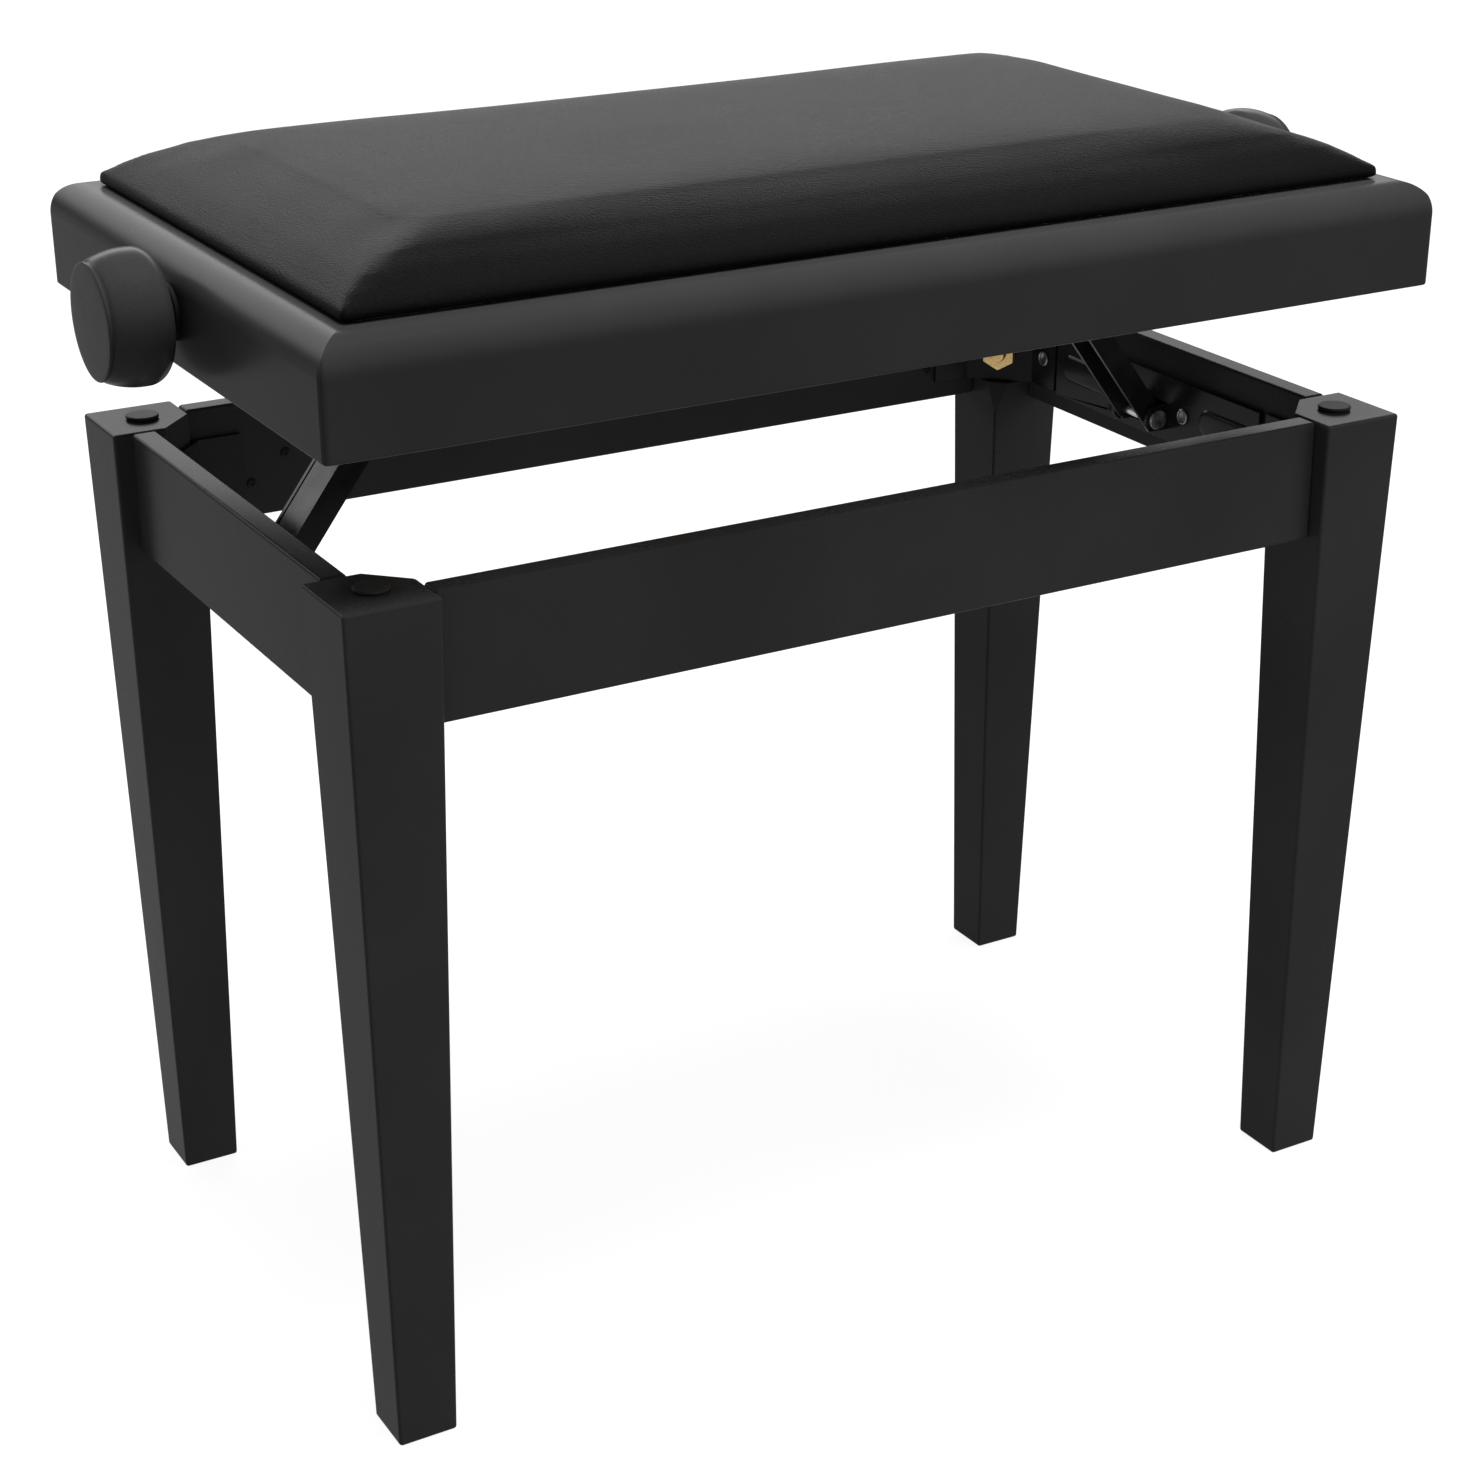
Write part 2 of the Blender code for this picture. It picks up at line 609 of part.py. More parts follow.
def make_seat_mount(name, side):
    top = BOARD_BOTTOM - GAP
    mount = make_mount(name, side, RAIL_IN_X, SEAT_MOUNT_LENGTH, top, SEAT_MOUNT_HEIGHT,
                       SPINDLE_HEIGHT, EAR_IN)
    start = (side * (RAIL_IN_X - 3 * MOUNT_THICKNESS), 0, SPINDLE_HEIGHT)
    end = (side * (RAIL_IN_X + MOUNT_THICKNESS), 0, SPINDLE_HEIGHT)
    cut(mount, add_object("cut_bush_" + name, cylinder_mesh(start, end, BUSH_RADIUS + GAP), None))
    return mount


def make_rivet(name, side, hand):
    """A stub rivet that joins one cheek of a link to one ear of the seat mount."""
    start = hand * (LINK_IN - RIVET_STANDS_IN)
    shoulder = hand * (EAR_OUT + GAP)
    end = shoulder + hand * PIN_HEAD_HEIGHT / 2
    rivet = add_object(name, cylinder_mesh((side * HINGE_X, start, SPINDLE_HEIGHT),
                                           (side * HINGE_X, end, SPINDLE_HEIGHT), PIN_RADIUS),
                       "bright_steel", smooth=True)
    head = cylinder_mesh((side * HINGE_X, shoulder, SPINDLE_HEIGHT),
                         (side * HINGE_X, shoulder + hand * PIN_HEAD_HEIGHT, SPINDLE_HEIGHT), PIN_HEAD_RADIUS)
    cut(rivet, add_object("join_" + name, head, None), "UNION")
    return rivet


def make_spindle_nut(name, side):
    """A threaded block with a trunnion on each side, in the arm's upper holes."""
    inner = ARM_WIDTH / 2 - ARM_WALL - SIDE_GAP
    x = side * NUT_X
    half = NUT_BLOCK_LENGTH / 2
    tall = SPINDLE_BORE + NUT_BLOCK_WALL
    block = box_mesh((x - half, -inner, SPINDLE_HEIGHT - tall), (x + half, inner, SPINDLE_HEIGHT + tall))
    nut = add_object(name, block, "bright_steel")
    bevel(nut, NUT_BLOCK_EDGE, 1)
    reach = ARM_WIDTH / 2
    trunnion = cylinder_mesh((x, -reach, SPINDLE_HEIGHT), (x, reach, SPINDLE_HEIGHT), PIN_RADIUS)
    cut(nut, add_object("join_" + name, trunnion, None), "UNION")
    bore = cylinder_mesh((x - NUT_BLOCK_LENGTH, 0, SPINDLE_HEIGHT), (x + NUT_BLOCK_LENGTH, 0, SPINDLE_HEIGHT),
                         SPINDLE_BORE)
    cut(nut, add_object("cut_" + name, bore, None))
    return nut


def make_spindle():
    reach = HALF_L + KNOB_OFF_SEAT + KNOB_BORE_DEPTH - GAP
    spindle = add_object("spindle", cylinder_mesh((-reach, 0, SPINDLE_HEIGHT), (reach, 0, SPINDLE_HEIGHT),
                                                  SPINDLE_RADIUS), "bright_steel", smooth=True)
    bevel(spindle, SPINDLE_EDGE, 1)
    return spindle


def make_bush(name, side):
    """A flanged bearing bush in the end rail, flange outside."""
    bore = SPINDLE_BORE
    start = -RAIL_WIDTH
    flange_back = GAP
    flange_front = GAP + BUSH_FLANGE
    profile = [(bore, start), (bore, flange_front), (BUSH_FLANGE_RADIUS, flange_front),
               (BUSH_FLANGE_RADIUS, flange_back), (BUSH_RADIUS, flange_back), (BUSH_RADIUS, start), (bore, start)]
    return turned(name, profile, "black_plastic", (side * HALF_L, 0, SPINDLE_HEIGHT), side)


def knob_profile():
    """From the middle of the outer face, over the rim and waist to the neck, then up the bore."""
    length = KNOB_LENGTH + KNOB_OFF_SEAT - BUSH_FLANGE - 2 * GAP
    neck = KNOB_OFF_SEAT - BUSH_FLANGE - 2 * GAP
    rim = KNOB_RADIUS - KNOB_FACE_RADIUS
    face = length - KNOB_FACE_DROP
    points = [(0.0, length), (KNOB_FACE_RADIUS - KNOB_FACE_EDGE, length), (KNOB_FACE_RADIUS, face)]
    steps = 5
    for index in range(1, steps + 1):
        turn = math.pi / 2 * index / steps
        points.append((KNOB_FACE_RADIUS + (rim - KNOB_WAIST) * math.sin(turn),
                       face - KNOB_RIM_DEPTH * (1 - math.cos(turn))))
    body = face - KNOB_RIM_DEPTH
    back = neck + KNOB_BACK_ROUND
    for index in range(1, 6):
        share = index / 5
        waist = KNOB_WAIST * (1 - math.sin(math.pi / 2 * share))
        points.append((KNOB_RADIUS - waist, body + (back - body) * share))
    for index in range(1, steps + 1):
        turn = math.pi / 2 * index / steps
        points.append((KNOB_RADIUS - KNOB_BACK_ROUND * (1 - math.cos(turn)),
                       back - KNOB_BACK_ROUND * math.sin(turn)))
    points += [(KNOB_NECK_RADIUS, neck), (KNOB_NECK_RADIUS, 0.0)]
    points += [(SPINDLE_BORE, 0.0), (SPINDLE_BORE, neck + KNOB_BORE_DEPTH), (0.0, neck + KNOB_BORE_DEPTH)]
    return points


def make_knob(name, side):
    start = (side * (HALF_L + BUSH_FLANGE + 2 * GAP), 0, SPINDLE_HEIGHT)
    return turned(name, knob_profile(), "black_plastic", start, side)


# ---------------------------------------------------------------- everything


def main():
    corners = [("front_left", -1, -1), ("front_right", 1, -1), ("back_left", -1, 1), ("back_right", 1, 1)]
    for place, side_x, side_y in corners:
        make_leg("leg_" + place, side_x, side_y)
        make_pad("rest_pad_" + place, side_x, side_y)
        make_corner_bracket("corner_bracket_" + place, side_x, side_y)
        make_leg_bolt("leg_bolt_" + place, side_x, side_y)
        make_leg_nut("leg_nut_" + place, side_x, side_y)
    for place, along_x, side in (("front", True, -1), ("back", True, 1), ("left", False, -1), ("right", False, 1)):
        make_apron("apron_" + place, along_x, side)
        make_rail("seat_rail_" + place, along_x, side)
    for place, side in (("front", -1), ("back", 1)):
        make_batten("board_batten_" + place, side)
    for place, side in (("left", -1), ("right", 1)):
        make_base_mount("base_mount_" + place, side)
        make_pin("base_pin_" + place, side, HINGE_X, HINGE_HEIGHT, LINK_IN + EAR_THICKNESS + GAP)
        make_arm("main_arm_" + place, side)
        make_pin("middle_pin_" + place, side, MID_X, MID_HEIGHT, LINK_OUT + GAP)
        make_link("link_" + place, side)
        make_seat_mount("seat_mount_" + place, side)
        make_rivet("seat_rivet_front_" + place, side, -1)
        make_rivet("seat_rivet_back_" + place, side, 1)
        make_spindle_nut("spindle_nut_" + place, side)
        make_bush("spindle_bush_" + place, side)
        make_knob("knob_" + place, side)
    make_spindle()
    make_board()
    make_cushion()


clear_scene()
PARTS = new_collection("piano_bench")
CUTTERS = new_collection("cutters")
MATERIALS = make_materials()
main()
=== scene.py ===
"""The looks of the piano bench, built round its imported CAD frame. Metres, +Z up, X along the bench."""

import json
import math

import bmesh
import bpy
import numpy as np
from mathutils import Matrix, Vector
from mathutils.bvhtree import BVHTree

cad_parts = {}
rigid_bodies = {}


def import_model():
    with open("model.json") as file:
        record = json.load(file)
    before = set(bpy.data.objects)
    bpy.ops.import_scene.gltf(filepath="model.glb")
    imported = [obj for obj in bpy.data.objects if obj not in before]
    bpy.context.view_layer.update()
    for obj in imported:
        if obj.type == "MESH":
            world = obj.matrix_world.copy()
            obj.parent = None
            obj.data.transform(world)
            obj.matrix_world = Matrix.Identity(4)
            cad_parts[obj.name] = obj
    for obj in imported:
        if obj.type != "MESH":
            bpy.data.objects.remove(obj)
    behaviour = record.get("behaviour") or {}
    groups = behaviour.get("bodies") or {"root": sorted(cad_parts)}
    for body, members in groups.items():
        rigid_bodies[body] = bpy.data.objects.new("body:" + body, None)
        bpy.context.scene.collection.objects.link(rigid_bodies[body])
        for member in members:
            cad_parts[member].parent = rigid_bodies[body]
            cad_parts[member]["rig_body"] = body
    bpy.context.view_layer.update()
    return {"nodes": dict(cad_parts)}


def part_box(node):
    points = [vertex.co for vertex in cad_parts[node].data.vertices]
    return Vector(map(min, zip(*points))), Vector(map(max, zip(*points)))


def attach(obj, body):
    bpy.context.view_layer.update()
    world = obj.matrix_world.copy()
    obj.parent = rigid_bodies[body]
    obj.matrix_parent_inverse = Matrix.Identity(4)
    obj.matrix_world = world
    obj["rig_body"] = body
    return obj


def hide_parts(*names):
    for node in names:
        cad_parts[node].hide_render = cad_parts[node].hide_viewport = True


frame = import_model()
scene = bpy.context.scene
NODES = frame["nodes"]
ENDS = (("left", -1), ("right", 1))
HANDS = (("front", -1), ("back", 1))
CORNERS = ("front_left", "front_right", "back_left", "back_right")


# ------------------------------------------------------------------ materials


class Nodes:
    """A short way to build one material's nodes."""

    def __init__(self, name):
        self.material = bpy.data.materials.new(name)
        self.material.use_nodes = True
        self.tree = self.material.node_tree
        self.shader = self.tree.nodes["Principled BSDF"]
        place = self.tree.nodes.new("ShaderNodeTexCoord")
        self.place = place.outputs["Object"]

    def add(self, kind, inputs=(), links=(), **settings):
        node = self.tree.nodes.new(kind)
        for key, value in settings.items():
            setattr(node, key, value)
        for key, value in dict(inputs).items():
            node.inputs[key].default_value = value
        for key, source in dict(links).items():
            self.tree.links.new(source, node.inputs[key])
        return node

    def set(self, **values):
        for key, value in values.items():
            self.shader.inputs[key.replace("_", " ")].default_value = value

    def link(self, source, socket):
        self.tree.links.new(source, self.shader.inputs[socket])

    def noise(self, scale, detail=2.0, roughness=0.5, stretch=None):
        vector = self.place
        if stretch:
            vector = self.add("ShaderNodeMapping", {"Scale": stretch}, {"Vector": vector}).outputs[0]
        inputs = {"Scale": scale, "Detail": detail, "Roughness": roughness}
        return self.add("ShaderNodeTexNoise", inputs, {"Vector": vector}).outputs["Fac"]

    def cells(self, scale, feature, **inputs):
        inputs["Scale"] = scale
        node = self.add("ShaderNodeTexVoronoi", inputs, {"Vector": self.place}, feature=feature)
        return node.outputs["Distance"]

    def spread(self, source, low, high, start=0.3, end=0.7):
        """A number from low to high, as source goes from start to end."""
        inputs = {"From Min": start, "From Max": end, "To Min": low, "To Max": high}
        return self.add("ShaderNodeMapRange", inputs, {"Value": source}).outputs["Result"]

    def between(self, source, first, second, start=0.3, end=0.7):
        """A colour from first to second, as source goes from start to end."""
        ramp = self.add("ShaderNodeValToRGB", links={"Fac": source})
        ramp.color_ramp.elements[0].position = start
        ramp.color_ramp.elements[1].position = end
        ramp.color_ramp.elements[0].color = (*first, 1.0)
        ramp.color_ramp.elements[1].color = (*second, 1.0)
        return ramp.outputs["Color"]

    def total(self, first, second, share):
        """first, plus a share of second."""
        scaled = self.add("ShaderNodeMath", operation="MULTIPLY", links={0: second}, inputs={1: share})
        return self.add("ShaderNodeMath", operation="ADD", links={0: first, 1: scaled.outputs[0]}).outputs[0]

    def bump(self, height, depth, strength, after=None):
        """A normal from a height. It lies over the normal given as after."""
        links = {"Height": height}
        if after:
            links["Normal"] = after
        node = self.add("ShaderNodeBump", {"Strength": strength, "Distance": depth}, links)
        return node.outputs["Normal"]


ROUGH_SPREAD = 0.035            # how far a lacquered surface's roughness wanders either way
SKIN_SPREAD = 0.04              # the same for a moulded surface


def lacquer(name, dark, light, rough, specular):
    """Satin black lacquer on sanded board: faint mottle, and a very fine orange peel."""
    made = Nodes(name)
    mottle = made.noise(9.0, 3.0)
    fine = made.noise(420.0)
    made.link(made.between(mottle, dark, light), "Base Color")
    uneven = made.total(mottle, fine, 0.25)
    made.link(made.spread(uneven, rough - ROUGH_SPREAD, rough + ROUGH_SPREAD, 0.35, 0.9), "Roughness")
    made.link(made.bump(made.noise(1300.0), 0.00002, 0.5), "Normal")
    made.set(Specular_IOR_Level=specular)
    return made.material


def leatherette():
    """Fine-grained artificial leather: small rounded cells over a slow unevenness, its colour darker in the
    grain's hollows and lighter on its raised tops: painted shade and painted highlight.
    """
    made = Nodes("leatherette")
    pebbles = made.cells(1150.0, "SMOOTH_F1", Smoothness=0.35)
    creases = made.cells(520.0, "DISTANCE_TO_EDGE")
    grain = made.noise(2300.0)
    slow = made.noise(14.0, 3.0)
    height = made.total(made.total(pebbles, grain, 0.8), creases, 0.35)
    # The colour follows the grain's height: painted shade in its hollows, a painted highlight on its raised
    # tops.
    colour = made.between(height, (0.0010, 0.0010, 0.0011), (0.0030, 0.0030, 0.0032), 0.25, 1.15)
    made.link(colour, "Base Color")
    made.link(made.spread(made.total(grain, slow, 0.6), 0.24, 0.36, 0.45, 1.1), "Roughness")
    pebbled = made.bump(height, 0.00025, 0.8)
    made.link(made.bump(slow, 0.0009, 0.25, pebbled), "Normal")
    made.set(Specular_IOR_Level=0.009)
    return made.material


def black_steel():
    """Pressed steel with black stove enamel, glossier than the wood."""
    made = Nodes("black_steel")
    worn = made.noise(60.0, 4.0, 0.6)
    made.link(made.between(worn, (0.0045, 0.0045, 0.0048), (0.0075, 0.0075, 0.0080)), "Base Color")
    made.link(made.spread(worn, 0.20, 0.32), "Roughness")
    made.link(made.bump(made.noise(700.0), 0.00001, 0.4), "Normal")
    made.set(Specular_IOR_Level=0.06)
    return made.material


def metal(name, dark, light, rough, grain, depth):
    """Bare or plated metal. rough is its least and greatest roughness."""
    made = Nodes(name)
    streaks = made.noise(grain, 4.0, 0.6)
    made.link(made.between(streaks, dark, light, 0.3, 0.75), "Base Color")
    made.link(made.spread(streaks, *rough), "Roughness")
    made.link(made.bump(streaks, depth, 0.5), "Normal")
    made.set(Metallic=1.0)
    return made.material


def moulded(name, dark, light, rough, grain, depth, specular):
    """Moulded plastic with a faint spark-eroded texture."""
    made = Nodes(name)
    skin = made.noise(grain, 3.0)
    made.link(made.between(skin, dark, light), "Base Color")
    made.link(made.spread(made.noise(30.0), rough - SKIN_SPREAD, rough + SKIN_SPREAD), "Roughness")
    made.link(made.bump(skin, depth, 0.6), "Normal")
    made.set(Specular_IOR_Level=specular)
    return made.material


def plywood():
    """Rotary-cut birch face veneer, seen only from below."""
    made = Nodes("plywood")
    figure = made.noise(7.0, 5.0, 0.6, (0.7, 14.0, 14.0))
    pores = made.noise(160.0, 3.0, 0.7, (0.06, 1.0, 1.0))
    mixed = made.total(figure, pores, 0.35)
    made.link(made.between(mixed, (0.30, 0.20, 0.115), (0.58, 0.43, 0.28), 0.45, 0.95), "Base Color")
    made.link(made.spread(pores, 0.60, 0.78), "Roughness")
    made.link(made.bump(pores, 0.00015, 0.5), "Normal")
    made.set(Specular_IOR_Level=0.3)
    return made.material


MATERIALS = {
    "satin_black_wood": lacquer("satin_black_wood", dark=(0.0128, 0.0128, 0.0132),
                                light=(0.0162, 0.0162, 0.0168), rough=0.27, specular=0.0115),
    "black_steel": black_steel(),
    "bright_steel": metal("bright_steel", dark=(0.30, 0.30, 0.31), light=(0.55, 0.55, 0.56),
                          rough=(0.22, 0.40), grain=220.0, depth=0.00003),
    "brass": metal("brass", dark=(0.36, 0.235, 0.09), light=(0.72, 0.52, 0.25),
                   rough=(0.30, 0.55), grain=900.0, depth=0.00012),
    "rivet_steel": metal("rivet_steel", dark=(0.10, 0.10, 0.105), light=(0.24, 0.24, 0.25),
                         rough=(0.28, 0.42), grain=400.0, depth=0.00003),
    "black_plastic": moulded("black_plastic", dark=(0.004, 0.004, 0.0042), light=(0.007, 0.007, 0.0072),
                             rough=0.50, grain=1500.0, depth=0.00003, specular=0.02),
    "knob_finish": moulded("knob_finish", dark=(0.0130, 0.0130, 0.0134), light=(0.0165, 0.0165, 0.0170),
                           rough=0.24, grain=1100.0, depth=0.00002, specular=0.011),
    # A darker, glossier copy of the knob's finish, given to its barrel side: painted shade and sheen for how
    # light falls there.
    "knob_side_shade_sheen": moulded("knob_side_shade_sheen", dark=(0.0060, 0.0060, 0.0062), light=(0.0090, 0.0090, 0.0093),
                         rough=0.24, grain=1100.0, depth=0.00002, specular=0.42),
    "leatherette": leatherette(),
    "plywood": plywood(),
    "felt": moulded("felt", dark=(0.010, 0.010, 0.0103), light=(0.018, 0.018, 0.0186),
                    rough=0.40, grain=1900.0, depth=0.00008, specular=0.014),
}


# ------------------------------------------------------------------ helpers


TINY = 1e-7                     # a radius below this is a point on the axis


def new_piece(name, data, slot, body, nodes=()):
    """One visible piece from a bmesh: its material, its body and the CAD nodes that it stands for."""
    mesh = bpy.data.meshes.new(name)
    bmesh.ops.recalc_face_normals(data, faces=data.faces)
    data.to_mesh(mesh)
    data.free()
    mesh.shade_smooth()
    mesh.materials.clear()
    mesh.materials.append(MATERIALS[slot])
    piece = bpy.data.objects.new(name, mesh)
    scene.collection.objects.link(piece)
    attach(piece, body)
    if nodes:
        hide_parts(*nodes)
    return piece


def ease_edges(piece, width, segments, angle):
    """Round a piece's sharp edges a little, and shade the flats flat."""
    modifier = piece.modifiers.new("eased_edges", "BEVEL")
    modifier.width = width
    modifier.segments = segments
    modifier.limit_method = "ANGLE"
    modifier.angle_limit = math.radians(angle)
    modifier.miter_outer = "MITER_ARC"
    weighted = piece.modifiers.new("flat_faces", "WEIGHTED_NORMAL")
    weighted.weight = 100
    weighted.keep_sharp = True


def refine(node, name, slot, width, segments=2, angle=35):
    """A piece with a CAD node's own shape, its triangles merged back into faces and its edges eased."""
    source = NODES[node]
    data = bmesh.new()
    data.from_mesh(source.data)
    bmesh.ops.remove_doubles(data, verts=data.verts, dist=0.00002)
    bmesh.ops.dissolve_limit(data, angle_limit=math.radians(1.0), verts=data.verts, edges=data.edges)
    ease_edges(new_piece(name, data, slot, source["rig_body"], [node]), width, segments, angle)


def frame_along(centre, axis):
    """A matrix that puts a shape built along +Z at centre, along axis."""
    return Matrix.Translation(centre) @ Vector(axis).to_track_quat("Z", "Y").to_matrix().to_4x4()


def circle(place, radius, distance, steps):
    """Places round a circle that stands at a distance along the axis."""
    points = []
    for index in range(steps):
        angle = 2 * math.pi * index / steps
        points.append(place @ Vector((radius * math.cos(angle), radius * math.sin(angle), distance)))
    return points


def join_rings(data, rings):
    """Faces between rings of equally many points, each joined to the next."""
    for first, second in zip(rings, rings[1:]):
        for index in range(len(first)):
            after = (index + 1) % len(first)
            data.faces.new((first[index], first[after], second[after], second[index]))


def lathe(profile, steps, centre, axis):
    """Turn (radius, distance) points about an axis through centre. A radius of 0 closes the end."""
    data = bmesh.new()
    place = frame_along(centre, axis)
    rings = []
    for radius, distance in profile:
        if radius < TINY:
            rings.append([data.verts.new(place @ Vector((0, 0, distance)))])
            continue
        rings.append([data.verts.new(point) for point in circle(place, radius, distance, steps)])
    for first, second in zip(rings, rings[1:]):
        for index in range(steps):
            after = (index + 1) % steps
            corners = []
            for corner in (first[index % len(first)], first[after % len(first)],
                           second[after % len(second)], second[index % len(second)]):
                if corner not in corners:
                    corners.append(corner)
            if len(corners) > 2:
                data.faces.new(corners)
    return data


def arc(centre_r, centre_d, radius_r, radius_d, start, end, steps):
    """Profile points on part of an ellipse, angles in degrees from the radius direction."""
    points = []
    for index in range(steps + 1):
        angle = math.radians(start + (end - start) * index / steps)
        points.append((centre_r + radius_r * math.cos(angle), centre_d + radius_d * math.sin(angle)))
    return points


# ------------------------------------------------------------------ seat frame

ROUND = 0.0150                  # the quarter round along a rail's upper outer edge
ROUND_STEPS = 24
LOWER_EDGE = 0.0012             # eased arris along its lower outer edge
LOWER_EDGE_TURNS = (0, 22.5, 45, 67.5, 90)
CORNER_RADIUS = 0.0030          # of the frame's upright corners
CORNER_TURNS = (0, 9, 18, 27, 36, 45)
LEAST_RADIUS = 0.00002          # inside the frame, where a rail's end is all but sharp
LEAST_RADIUS_TAPER = 0.00004    # added to that at the outer face
MITRE_GAP = 0.00008             # half the gap between two rails at a mitre
seat_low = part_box("seat_rail_front")[0].z
seat_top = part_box("seat_rail_front")[1].z
half_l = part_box("seat_rail_right")[1].x
half_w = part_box("seat_rail_back")[1].y
rail_width = half_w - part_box("seat_rail_back")[0].y


def rail_section():
    """(in from the outer face, up from the bottom): a quarter round above, an eased arris below."""
    points = [(rail_width, 0.0)]
    for turn in map(math.radians, LOWER_EDGE_TURNS):
        points.append((LOWER_EDGE * (1 - math.sin(turn)), LOWER_EDGE * (1 - math.cos(turn))))
    height = seat_top - seat_low
    for index in range(ROUND_STEPS + 1):
        turn = math.pi / 2 * index / ROUND_STEPS
        points.append((ROUND * (1 - math.cos(turn)), height - ROUND + ROUND * math.sin(turn)))
    points.append((rail_width, height))
    return points


def make_rail(name, along_x, side):
    """A rail with mitred ends. Its outer corners are rounded up to the mitre."""
    half = half_l if along_x else half_w
    outer = half_w if along_x else half_l
    turns = [math.radians(turn) for turn in CORNER_TURNS]
    data = bmesh.new()
    rings = []
    for end, angles in ((-1, turns[::-1]), (1, turns)):
        for angle in angles:
            ring = []
            for inward, height in rail_section():
                least = LEAST_RADIUS_TAPER * (rail_width - inward) / rail_width + LEAST_RADIUS
                radius = max(CORNER_RADIUS - inward, least)
                along = end * (half - inward - radius + radius * math.sin(angle) - MITRE_GAP)
                across = side * (outer - inward - radius * (1 - math.cos(angle)))
                z = seat_low + height
                ring.append(data.verts.new((along, across, z) if along_x else (across, along, z)))
            rings.append(ring)
    join_rings(data, rings)
    data.faces.new(rings[0])
    data.faces.new(rings[-1])
    rail = new_piece("rail_" + name, data, "satin_black_wood", "seat", ["seat_rail_" + name])
    ease_edges(rail, width=0.0002, segments=2, angle=40)


for place, side in HANDS:
    make_rail(place, True, side)
for place, side in ENDS:
    make_rail(place, False, side)


# ------------------------------------------------------------------ cushion


WALL_RISE = 0.0056              # the cover's upright edge
SLOPE_RISE = 0.0203             # what its slope adds
SLOPE_REACH = 0.024             # and how soon
DOME_RISE = 0.0030              # a slower rise towards the middle
DOME_REACH = 0.08
MITRE_SOFT = 0.0015             # how widely two slopes blend at the cover's foot
MITRE_SPREAD = 0.38             # and how that grows with the distance in
COVER_GAP = 0.0006              # from the cushion's own box, left for the cover to swell into
GRID_NEAR = (0.0, 0.0012, 0.003, 0.0055, 0.009, 0.0135, 0.019, 0.026, 0.035, 0.046, 0.060)
GRID_STEP = 0.012               # between grid lines further in than those

VOXEL = 0.0045
HELD_BELOW = 0.0035             # the cover is stapled down this near its foot
CLOTH_FRAMES = 20
MOST_SHIFT = 0.0022             # how far the padding may move any point
EVEN_ROUNDS = 10
EVEN_SHARE = 0.6                # of its neighbours' shift that a point takes in each round

STILL_BELOW = 0.003             # creases and puckers fade in from this far above the foot
FADE_IN = 0.006
MITRE_DIP = 0.0010
MITRE_HALF = 0.0025             # half width of the crease at a mitre, at its foot
MITRE_WIDENS = 0.30
MITRE_FADE = 0.013
PUCKER_DIP = 0.00026
PUCKER_FADE = 0.018
WAVE_DIP = 0.00030
WAVE_FADE = 0.045


def cushion_height(inward):
    """How far the cover stands above the foot of the cushion, at a distance in from its edge."""
    crown = 1.0 - math.exp(-inward / SLOPE_REACH)
    return WALL_RISE + SLOPE_RISE * crown + DOME_RISE * (1.0 - math.exp(-inward / DOME_REACH))


def smooth_min(first, second, blend):
    """The lesser of two distances, rounded off where they differ by less than blend."""
    near = max(blend - abs(first - second), 0.0) / blend
    return min(first, second) - near * near * blend * 0.25


def grid_lines(half):
    """Where the cover's grid lines are, between -half and half: close together near its edges."""
    inner_half = half - GRID_NEAR[-1]
    count = int(inner_half / GRID_STEP)
    right = [half - inward for inward in GRID_NEAR]
    right += [inner_half * (1 - (index + 1) / count) for index in range(count)]
    return sorted(set([round(at, 6) for at in right] + [round(-at, 6) for at in right]))


def make_cushion():
    """The cover before it is padded: a closed shell on the cushion's foot."""
    low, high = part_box("cushion")
    centre = (low + high) / 2
    half_x = (high.x - low.x) / 2 - COVER_GAP
    half_y = (high.y - low.y) / 2 - COVER_GAP
    base = low.z
    xs = grid_lines(half_x)
    ys = grid_lines(half_y)
    data = bmesh.new()
    top = {}
    bottom = {}
    for i, x in enumerate(xs):
        for j, y in enumerate(ys):
            dx = half_x - abs(x)
            dy = half_y - abs(y)
            inward = max(smooth_min(dx, dy, MITRE_SOFT + MITRE_SPREAD * min(dx, dy)), 0.0)
            z = base + cushion_height(inward)
            top[i, j] = data.verts.new((x + centre.x, y + centre.y, z))
            bottom[i, j] = data.verts.new((x + centre.x, y + centre.y, base))
    last_i = len(xs) - 1
    last_j = len(ys) - 1
    for i in range(last_i):
        for j in range(last_j):
            data.faces.new((top[i, j], top[i + 1, j], top[i + 1, j + 1], top[i, j + 1]))
            data.faces.new((bottom[i, j], bottom[i, j + 1], bottom[i + 1, j + 1], bottom[i + 1, j]))
    for i in range(last_i):
        data.faces.new((top[i, 0], bottom[i, 0], bottom[i + 1, 0], top[i + 1, 0]))
        data.faces.new((top[i, last_j], top[i + 1, last_j], bottom[i + 1, last_j], bottom[i, last_j]))
    for j in range(last_j):
        data.faces.new((top[0, j], top[0, j + 1], bottom[0, j + 1], bottom[0, j]))
        data.faces.new((top[last_i, j], bottom[last_i, j], bottom[last_i, j + 1], top[last_i, j + 1]))
    bmesh.ops.recalc_face_normals(data, faces=data.faces)
    mesh = bpy.data.meshes.new("cushion_cover")
    data.to_mesh(mesh)
    data.free()
    piece = bpy.data.objects.new("cushion_cover", mesh)
    scene.collection.objects.link(piece)
    return piece, centre, half_x, half_y, base


def positions(mesh):
    """A mesh's points, one to a row."""
    flat = np.empty(len(mesh.vertices) * 3)
    mesh.vertices.foreach_get("co", flat)
    return flat.reshape(-1, 3)


